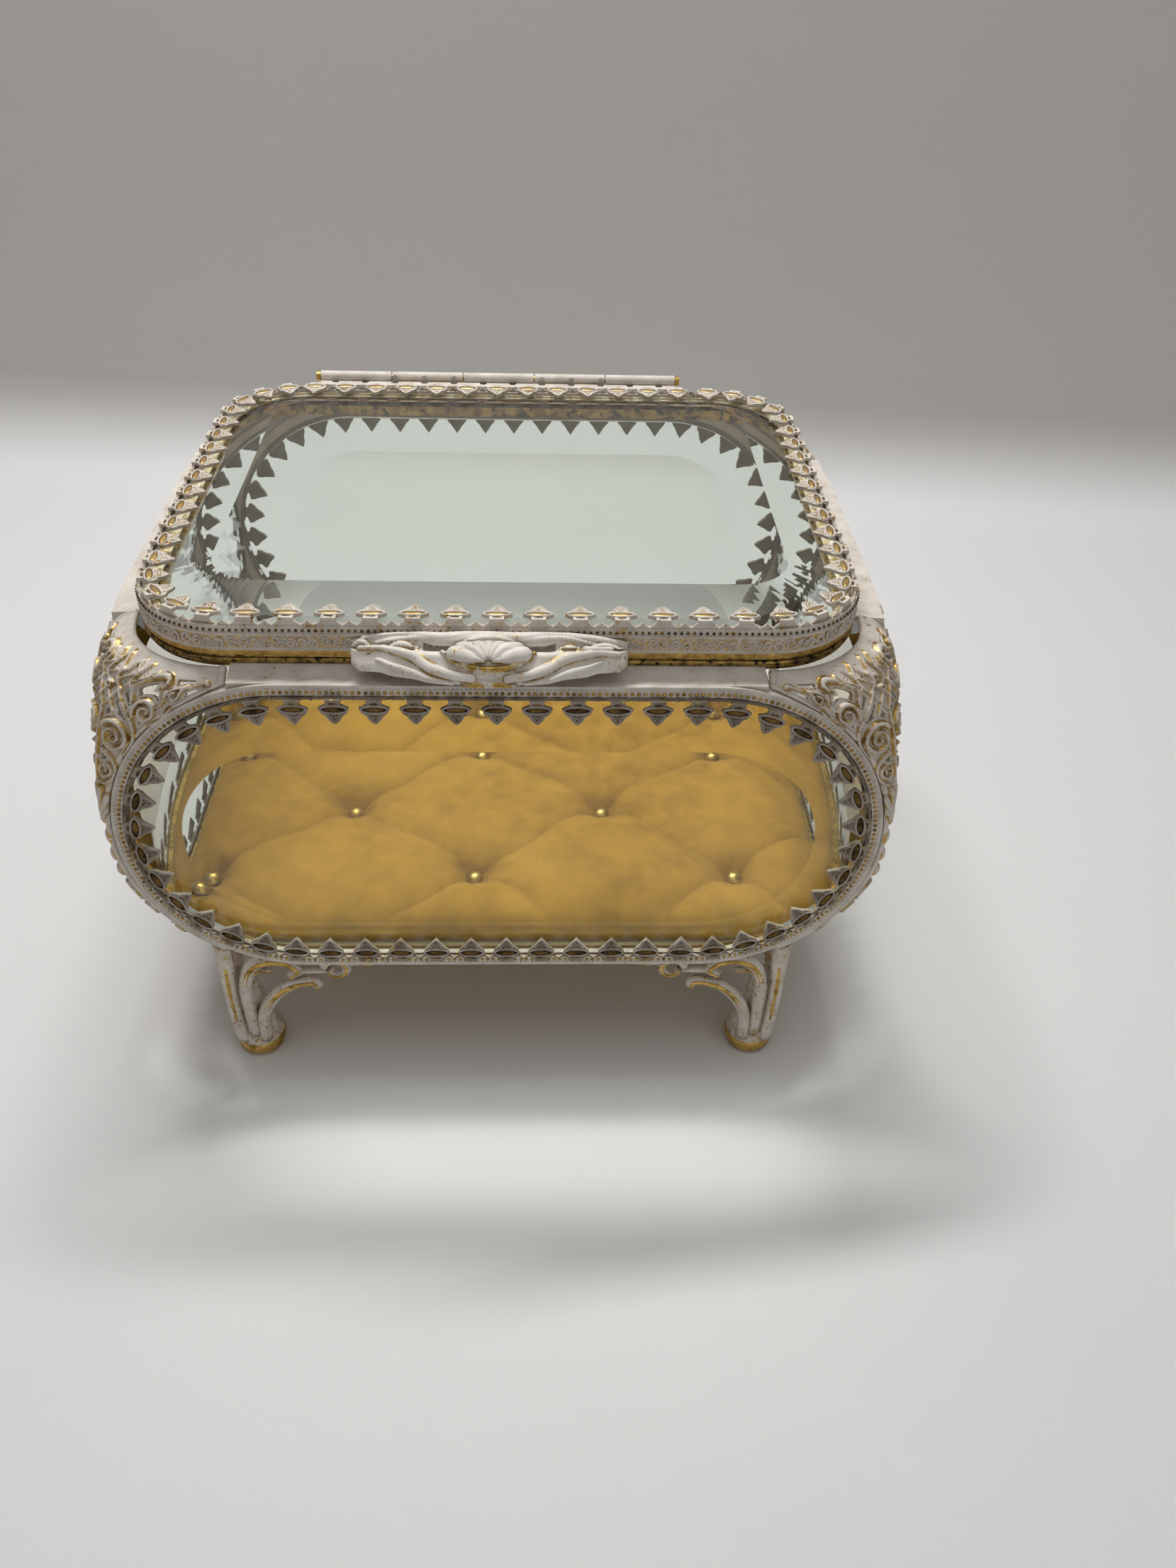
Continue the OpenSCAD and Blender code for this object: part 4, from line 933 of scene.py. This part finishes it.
def leg_scrolls():
    white, gold = Shell(), Shell()
    top = LEG_TOP
    strokes = (
        ([(2.2, 4), (1.5, 10), (1.3, 18), (1.5, 26), (1.6, top + 2)], 1.4, 1.15, 0.5, False),
        ([(4.6, 6), (4.3, 14), (4.4, 20.6), (6.2, 25.4), (9.6, 27.2), (13, 26.8), (15, 24.6), (13.2, 22.8)],
         1.3, 1.3, 0.62, True),
        ([(5.4, 22.6), (7.4, 24.4), (10, 24.2)], 0.6, 0.9, 0.3, True),
        ([(6.4, 4.5), (6.8, 11.4), (9.4, 16.8), (13, 20.2), (17.4, 21.4), (18.5, 19.7)], 1.28, 1.3, 0.6, True),
        ([(15, 24.4), (20.6, 24.6)], 0.65, 0.9, 0.0, False),
        (curl((22.4, top - 4.4), 2.5, 1.6, 170, -340, 26), 0.85, 1.1, 0.4, True),
        ([(24.4, top - 2.4), (28, top - 2.8), (WING_LEN + 3, top - 2.2)], 0.8, 0.9, 0.3, True),
    )
    for side in (False, True):
        out = ACROSS if side else ALONG
        for path, width, height, line, narrow in strokes:
            fine = smooth_path(path) if len(path) < 12 else path
            pts = [wing_at(p.x, p.y, side) for p in fine]
            taper = (lambda k: 1.06 - 0.3 * k ** 3) if narrow else (lambda k: 1.04)
            white.sweep(pts, [out] * len(pts), both_sided(width, height), taper=taper)
            if line:
                raised = [p + out * height * 0.86 for p in pts]
                thin = half_round(line, 0.24, 0.1, 4)
                gold.sweep(raised, [out] * len(pts), thin, taper=lambda k: 0.35 + 2.6 * k * (1 - k))
    # Toe: rounded cup with a gilt band
    steps = [(0.0, 0.78), (0.25, 0.93), (0.9, 1.04), (2.2, 1.1), (3.6, 1.1), (5.2, 1.0), (7.2, 0.87), (9.6, 0.78)]
    for shell, rows, extra in ((white, steps, 0.0), (gold, steps[1:5], 0.12)):
        points, faces, sides = [], [], 20
        for z, share in rows:
            for k in range(sides):
                at = Vector((TOE_X, TOE_Y)) + (share * TOE_R * 0.94 + extra) * around_circle(360 * k / sides)
                points.append(Vector((*at, z)))
        for j in range(len(rows) - 1):
            low, high = j * sides, (j + 1) * sides
            for k in range(sides):
                after = (k + 1) % sides
                faces.append((low + k, low + after, high + after, high + k))
        faces.append(tuple(reversed(range(sides))))
        faces.append(tuple((len(rows) - 1) * sides + k for k in range(sides)))
        shell.add(points, faces)
    return white, gold


leg_white, leg_gold = leg_scrolls()
for corner, (sx, sy) in CORNERS.items():
    for title, shell, finish in (("scrolls", leg_white, "leg"), ("gilding", leg_gold, "gilt")):
        name = f"leg_{title}_{corner}"
        piece(name, shell.mirrored(sx, sy).mesh(name), finish, "base")


# ---------------------------------------------------------------- lift handle
# Rows of the cast sheet from the band to the lower edge: share of the reach, height
LIFT_ROWS = ((0.0, 0.2), (0.04, 1.2), (0.12, 1.8), (0.22, 1.7), (0.3, 0.95), (0.36, 0.0), (0.42, -0.2), (0.48, 0.1),
             (0.56, 0.35), (0.64, 0.1), (0.72, -0.7), (0.8, -1.4), (0.88, -2.0), (0.95, -2.8), (0.96, -3.4),
             (0.9, -4.0))
# Outline of the lower edge: place along the half width, share of the reach
LIFT_EDGE = ((0.0, 1.0), (0.12, 0.99), (0.24, 0.92), (0.34, 0.9), (0.44, 0.88), (0.54, 0.8), (0.62, 0.76),
             (0.7, 0.72), (0.78, 0.62), (0.86, 0.58), (0.94, 0.54), (1.0, 0.34))
LIFT_RUN = 14.0
FAN_FOOT = 9.2
FAN_SQUASH = 0.82
# The dome under the fan: half width, middle and half length along the sheet, height
DOME_W, DOME_AT, DOME_L, DOME_H = 7.0, 7.2, 4.6, 1.1
# The slots: middle and half width across the sheet, middle and half height along it, sag
SLOT_X, SLOT_HALF, SLOT_AT, SLOT_HIGH, SLOT_SAG = 7.6, 3.2, 5.2, 0.95, 0.06
CAST_T = 0.9


def lift_strokes():
    """Relief of the lift: path across and down the sheet, half width, height, gilding."""
    strokes = [
        # The roll along the top
        ([(-20, 2.4), (-14, 1.5), (-8, 2.6), (-2, 1.7), (4, 2.5), (10, 1.5), (15, 2.3), (20, 3.2)], 1.1, 0.45, ""),
        ([(-18, 3.8), (-12, 3.0), (-6, 3.3), (0, 2.7), (6, 3.2), (12, 2.9), (18, 4.2)], 0.6, 0.35, ""),
        # The bar under the fan
        ([(-7.4, 7.6), (-5.6, 9.2), (-2.8, 10.1), (0, 10.3), (2.8, 10.1), (5.4, 9.3), (7.2, 7.8)], 0.62, 0.6,
         "all"),
        # Leaves beside the slots
        ([(-17.0, 6.0), (-15.0, 4.4), (-12.8, 4.5), (-11.6, 6.0)], 0.75, 0.7, "rim"),
        ([(11.4, 6.0), (12.2, 4.8), (13.6, 4.8), (14.2, 6.2)], 0.7, 0.7, "rim"),
        # Curled ends
        ([(-19.2, 6.6), (-21.3, 6.2), (-21.9, 4.5), (-20.5, 3.4), (-19.3, 4.4), (-20.2, 5.2)], 0.6, 0.9, "rim"),
        ([(21.6, 6.2), (20.2, 4.4), (17.4, 4.4), (15.4, 6.0), (16.6, 7.6), (19.4, 7.6)], 0.75, 0.8, "rim"),
        # Scrolls of the apron
        ([(-20.6, 7.2), (-16.4, 7.4), (-12.4, 8.6), (-9.4, 10.4), (-6.0, 11.4), (-2.6, 11.6)], 1.0, 0.7, "rim"),
        ([(20.4, 8.6), (16.0, 8.4), (12.0, 9.2), (9.0, 10.6), (6.0, 11.5), (2.8, 11.7)], 1.0, 0.7, "rim"),
        ([(-17.6, 10.2), (-13.6, 11.4), (-9.6, 12.4), (-5.8, 13.2)], 0.8, 0.5, ""),
        ([(17.6, 10.6), (13.6, 11.6), (9.6, 12.6), (5.8, 13.2)], 0.8, 0.5, ""),
        ([(-4.2, 13.2), (-1.6, 12.7), (1.6, 12.7), (4.2, 13.2)], 0.7, 0.5, "all"),
    ]
    for degrees in (-78, -52, -26, 0, 26, 52, 78):
        turn = math.radians(degrees)
        tip = 5.2 + 0.7 * abs(math.sin(turn))
        spine = [(k * math.sin(turn), FAN_FOOT - FAN_SQUASH * k * math.cos(turn)) for k in (0.8, 2.4, 4.0, tip)]
        strokes.append((spine, 1.12, 0.95, "petal"))
    return strokes


def lift_relief(x, run):
    """Height of the relief in millimetres and the gilded lines, over arrays of places on the sheet."""
    dome = np.clip(1 - (x / DOME_W) ** 2 - ((run - DOME_AT) / DOME_L) ** 2, 0, 1)
    height = DOME_H * dome**0.6
    raised, line = np.zeros_like(x), np.zeros_like(x)
    for path, half, tall, gilding in lift_strokes():
        fine = smooth_path(path, 9)
        best = np.full_like(x, 9.0)
        for k, point in enumerate(fine):
            share = k / (len(fine) - 1)
            belly = 0.3 + 0.85 * share - 0.15 * share**6 if gilding == "petal" else 0.62 + 1.5 * share * (1 - share)
            wide = half * belly
            best = np.minimum(best, np.hypot(x - point.x, run - point.y) / wide)
        bead = tall * np.sqrt(np.clip(1 - best**2, 0, 1))
        if gilding in ("rim", "petal"):
            rim = (best > 0.9) & (best < 1.22)
        else:
            rim = best < (0.9 if gilding == "all" else 0)
        over = bead >= raised
        line = np.where(over & (best < 0.9) & (gilding != "all"), 0.0, line)
        line = np.where(rim & (bead >= raised - 0.2), 1.0, line)
        raised = np.maximum(raised, bead)
    # A petal's gold stays in the grooves near the foot of the fan
    fan = (np.hypot(x, (run - FAN_FOOT) / FAN_SQUASH) > 4.2) & (dome > 0.05) & (run < 7.4)
    return height + raised, np.where(fan, line * 0.35, line)


def lift_sheet():
    """The cast body of the lift: a lobed sheet with a fan of petals, curled ends and two slots."""
    across, rows = 280, 112
    row_at = np.linspace(0, len(LIFT_ROWS) - 1, rows + 1)
    steps = np.arange(len(LIFT_ROWS))
    outs, heights = (np.interp(row_at, steps, column) for column in zip(*LIFT_ROWS))
    # Rounds the corners of the section
    soft = np.array([1, 2, 3, 4, 3, 2, 1]) / 16
    for column in (outs, heights):
        column[3:-3] = np.convolve(column, soft, "valid")
    u, out = np.meshgrid(np.linspace(-1, 1, across + 1), outs)
    z = np.repeat(heights[:, None], across + 1, 1)
    run = np.repeat(np.linspace(0, LIFT_RUN, rows + 1)[:, None], across + 1, 1)
    far = np.abs(u)
    reach = np.interp(far, *zip(*LIFT_EDGE))
    x = u * 0.985 * LIFT_W / 2
    z = z * (0.3 + 0.7 * reach) - 0.9 * far**5
    base = np.stack([LIFT_OFF + x, SHIFT_Y - LID_D / 2 - HUG - out * reach * LIFT_REACH, LIFT_Z + z], -1)
    normal = normals(base)
    normal *= np.sign(normal[rows // 2, across // 2, 2])
    height, line = lift_relief(x, run)
    edge = np.minimum(np.minimum(run, LIFT_RUN - run) / 1.2, (1 - far) * 14)
    height = height * np.clip(edge, 0, 1) ** 0.5
    beside = far * LIFT_W / 2 - SLOT_X
    opening = (np.abs(beside) < SLOT_HALF) & (np.abs(run - SLOT_AT + SLOT_SAG * beside**2) < SLOT_HIGH)
    return sheet_mesh("lift_body", base + normal * height[..., None], base - normal * CAST_T, opening, line)


lift_body = piece("lift_body", lift_sheet(), "lift", "lid")
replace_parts(lift_body, "lift_handle")


# ---------------------------------------------------------------- cushion
def cushion_grid(nx, ny):
    """Tufted velvet top as arrays of x, y, height and painted crease shade."""
    def spread(k):
        return k * (1.18 - 0.18 * k * k)

    u, v = np.meshgrid(spread(np.linspace(-1, 1, nx + 1)), spread(np.linspace(-1, 1, ny + 1)))
    x, y = u * CUSH_W / 2, v * CUSH_D / 2
    hx, hy = CUSH_W / 2, CUSH_D / 2

    def corner_part(x, y):
        cx, cy = np.abs(x) - (hx - CUSH_R), np.abs(y) - (hy - CUSH_R)
        return cx, cy, (cx > 0) & (cy > 0)

    cx, cy, both = corner_part(x, y)
    k = np.where(both, np.maximum(cx, cy) / np.maximum(np.hypot(cx, cy), 1e-6), 1.0)
    x = np.where(both, np.sign(x) * (hx - CUSH_R + cx * k), x)
    y = np.where(both, np.sign(y) * (hy - CUSH_R + cy * k), y)
    cx, cy, both = corner_part(x, y)
    inset = np.where(both, CUSH_R - np.hypot(cx, cy), np.minimum(hx - np.abs(x), hy - np.abs(y)))
    roll = np.sqrt(np.maximum(1 - (1 - np.minimum(inset / 11, 1)) ** 2, 0))
    crown = 1 - 0.24 * (x * x / CUSH_W**2 + y * y / CUSH_D**2)
    a = (x - TUFT_OFF) / TUFT_X + y / (2 * TUFT_Y)
    b = (x - TUFT_OFF) / TUFT_X - y / (2 * TUFT_Y)
    # Creases bow a little between one button and the next
    a = a + 0.035 * np.sin(2 * np.pi * b) * np.sin(np.pi * b)
    b = b + 0.035 * np.sin(2 * np.pi * a) * np.sin(np.pi * a)
    puff = np.abs(np.sin(np.pi * a) * np.sin(np.pi * b)) ** 0.45
    da, db = a - np.round(a), b - np.round(b)
    dx, dy = (da + db) * TUFT_X / 2, (da - db) * TUFT_Y
    near = np.hypot(dx, dy)
    dip = np.exp(-(near**2) / 14)
    pleat = np.sin(8 * np.arctan2(dy, dx)) * np.exp(-near / 4.5) * (near > 1.5)
    sunk = CREASE * (1 - puff) + (TUFT_DEPTH - CREASE) * dip
    z = CUSHION_LOW + PIPING + (CUSHION_H - PIPING) * roll * crown - roll * sunk + PLEAT * pleat * roll
    # Painted shade for the creases and the dips round the buttons
    fold = np.clip((1 - puff) ** 5 * 0.55 + dip * 0.35, 0, 1) * roll
    return x, y, z, fold


def make_cushion():
    nx, ny = 220, 180
    x, y, z, fold = cushion_grid(nx, ny)
    points = np.stack([x, y, z], -1).reshape(-1, 3)
    row = nx + 1
    edge = list(range(nx)) + [j * row + nx for j in range(ny)]
    edge += [ny * row + i for i in range(nx, 0, -1)] + [j * row for j in range(ny, 0, -1)]
    faces = [(k, k + 1, k + row + 1, k + row) for k in (j * row + i for j in range(ny) for i in range(nx))]
    count, rings = len(edge), []
    # Side: rounds over the piping and draws in to the sewn bottom edge
    for height, size in ((3.0, 1.002), (2.3, 1.004), (1.6, 1.004), (0.9, 0.996), (0.4, 0.99), (0.02, 0.982)):
        base = points[edge].copy()
        base[:, 0] *= size
        base[:, 1] *= size
        base[:, 2] = CUSHION_LOW + height
        rings.append(base)
    total = len(points)
    previous = edge
    for r in range(len(rings)):
        current = [total + r * count + k for k in range(count)]
        after = [(k + 1) % count for k in range(count)]
        faces += [(previous[k], current[k], current[after[k]], previous[after[k]]) for k in range(count)]
        previous = current
    faces.append(tuple(previous))
    points = (np.concatenate([points] + rings) + (0, SHIFT_Y, 0)) * MM
    fold_shades = np.zeros(len(points))
    fold_shades[:total] = fold.reshape(-1)
    data = smooth_mesh("velvet_cushion", points.tolist(), faces, fold=fold_shades)
    made = piece("velvet_cushion", data, "velvet", "base")
    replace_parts(made, "cushion")
    return made


make_cushion()


# ---------------------------------------------------------------- floor, light and camera
ROOM_FLOOR = (0.745, 0.735, 0.73)
# The wall's grey, darker than the floor, is painted shade
ROOM_WALL_IN_SHADE = (0.56, 0.545, 0.52)
# The wall stands slightly askew behind the box and meets the floor in a soft cove
WALL_BACK = 0.2375
WALL_SKEW = -0.079
COVE = 0.03


def room_finish():
    """Pale floor that turns into the warm grey of the wall within the cove; the wall's darker grey is painted
    shade.
    """
    f = Finish("pale room")
    up = f.between(f.axis("Z"), 0.002, COVE * 0.7)
    f.put(Base_Color=f.mix(up, ROOM_FLOOR, ROOM_WALL_IN_SHADE), Roughness=0.65)
    # Seen from behind, the wall doesn't hide the box
    f.clear_where(f.node("ShaderNodeNewGeometry", out="Backfacing"))
    return f.material


def room():
    """Floor, cove and wall as one smooth sheet."""
    profile = [(-3.0, 0.0), (-COVE, 0.0)]
    turns = (math.pi / 2 * k / 12 for k in range(1, 13))
    profile += [(-COVE + COVE * math.sin(a), COVE - COVE * math.cos(a)) for a in turns]
    profile += [(0.0, 2.5)]
    points = []
    for x in (-3.0, 3.0):
        points.extend((x, WALL_BACK + WALL_SKEW * x + back, z) for back, z in profile)
    count = len(profile)
    faces = [(k + 1, k, count + k, count + k + 1) for k in range(count - 1)]
    data = bpy.data.meshes.new("room")
    data.from_pydata(points, [], faces)
    data.polygons.foreach_set("use_smooth", [True] * len(data.polygons))
    made = shown("room", data)
    data.materials.append(room_finish())


room()


def area_lamp(name, place, aim, size, power):
    data = bpy.data.lights.new(name, "AREA")
    data.shape = "RECTANGLE"
    data.size, data.size_y = size
    data.energy = power
    made = shown(name, data)
    made.location = place
    made.rotation_euler = (Vector(place) - Vector(aim)).to_track_quat("Z", "Y").to_euler()
    return made


# A small lamp high behind the box, whose light falls through the glass to the floor in front
area_lamp("back_light", (-0.05, 0.19, 0.58), (0, -0.05, 0.05), (0.3, 0.05), 2.3)
area_lamp("ceiling_light", (0.0, -0.2, 1.4), (0, -0.2, 0), (1.5, 1.2), 3.7)
area_lamp("front_fill", (0.3, -0.9, 0.6), (0, 0, 0.06), (0.9, 0.6), 0.6)

world = bpy.data.worlds.new("room")
bpy.context.scene.world = world
world.use_nodes = True
world.node_tree.nodes["Background"].inputs[0].default_value = (1.0, 0.99, 0.98, 1)
world.node_tree.nodes["Background"].inputs[1].default_value = 0.22

# Camera, from the photograph's measured perspective
FOCAL_PX = 1800.0
PHOTO_H = 2212.0
SENSOR = 36.0
EYE = Vector((6.23, -229.47 + SHIFT_Y, 204.1)) * MM
PITCH, YAW, ROLL = 37.52, 2.85, 1.91
camera_data = bpy.data.cameras.new("camera")
camera_data.sensor_fit = "VERTICAL"
camera_data.sensor_height = SENSOR
camera_data.lens = FOCAL_PX * SENSOR / PHOTO_H
camera_data.clip_start = 0.01
camera = shown("camera", camera_data)
camera.matrix_world = moved(*EYE) @ turned(-YAW) @ turned(90 - PITCH, "X") @ turned(ROLL)
bpy.context.scene.camera = camera
bpy.context.scene.view_settings.view_transform = "Standard"
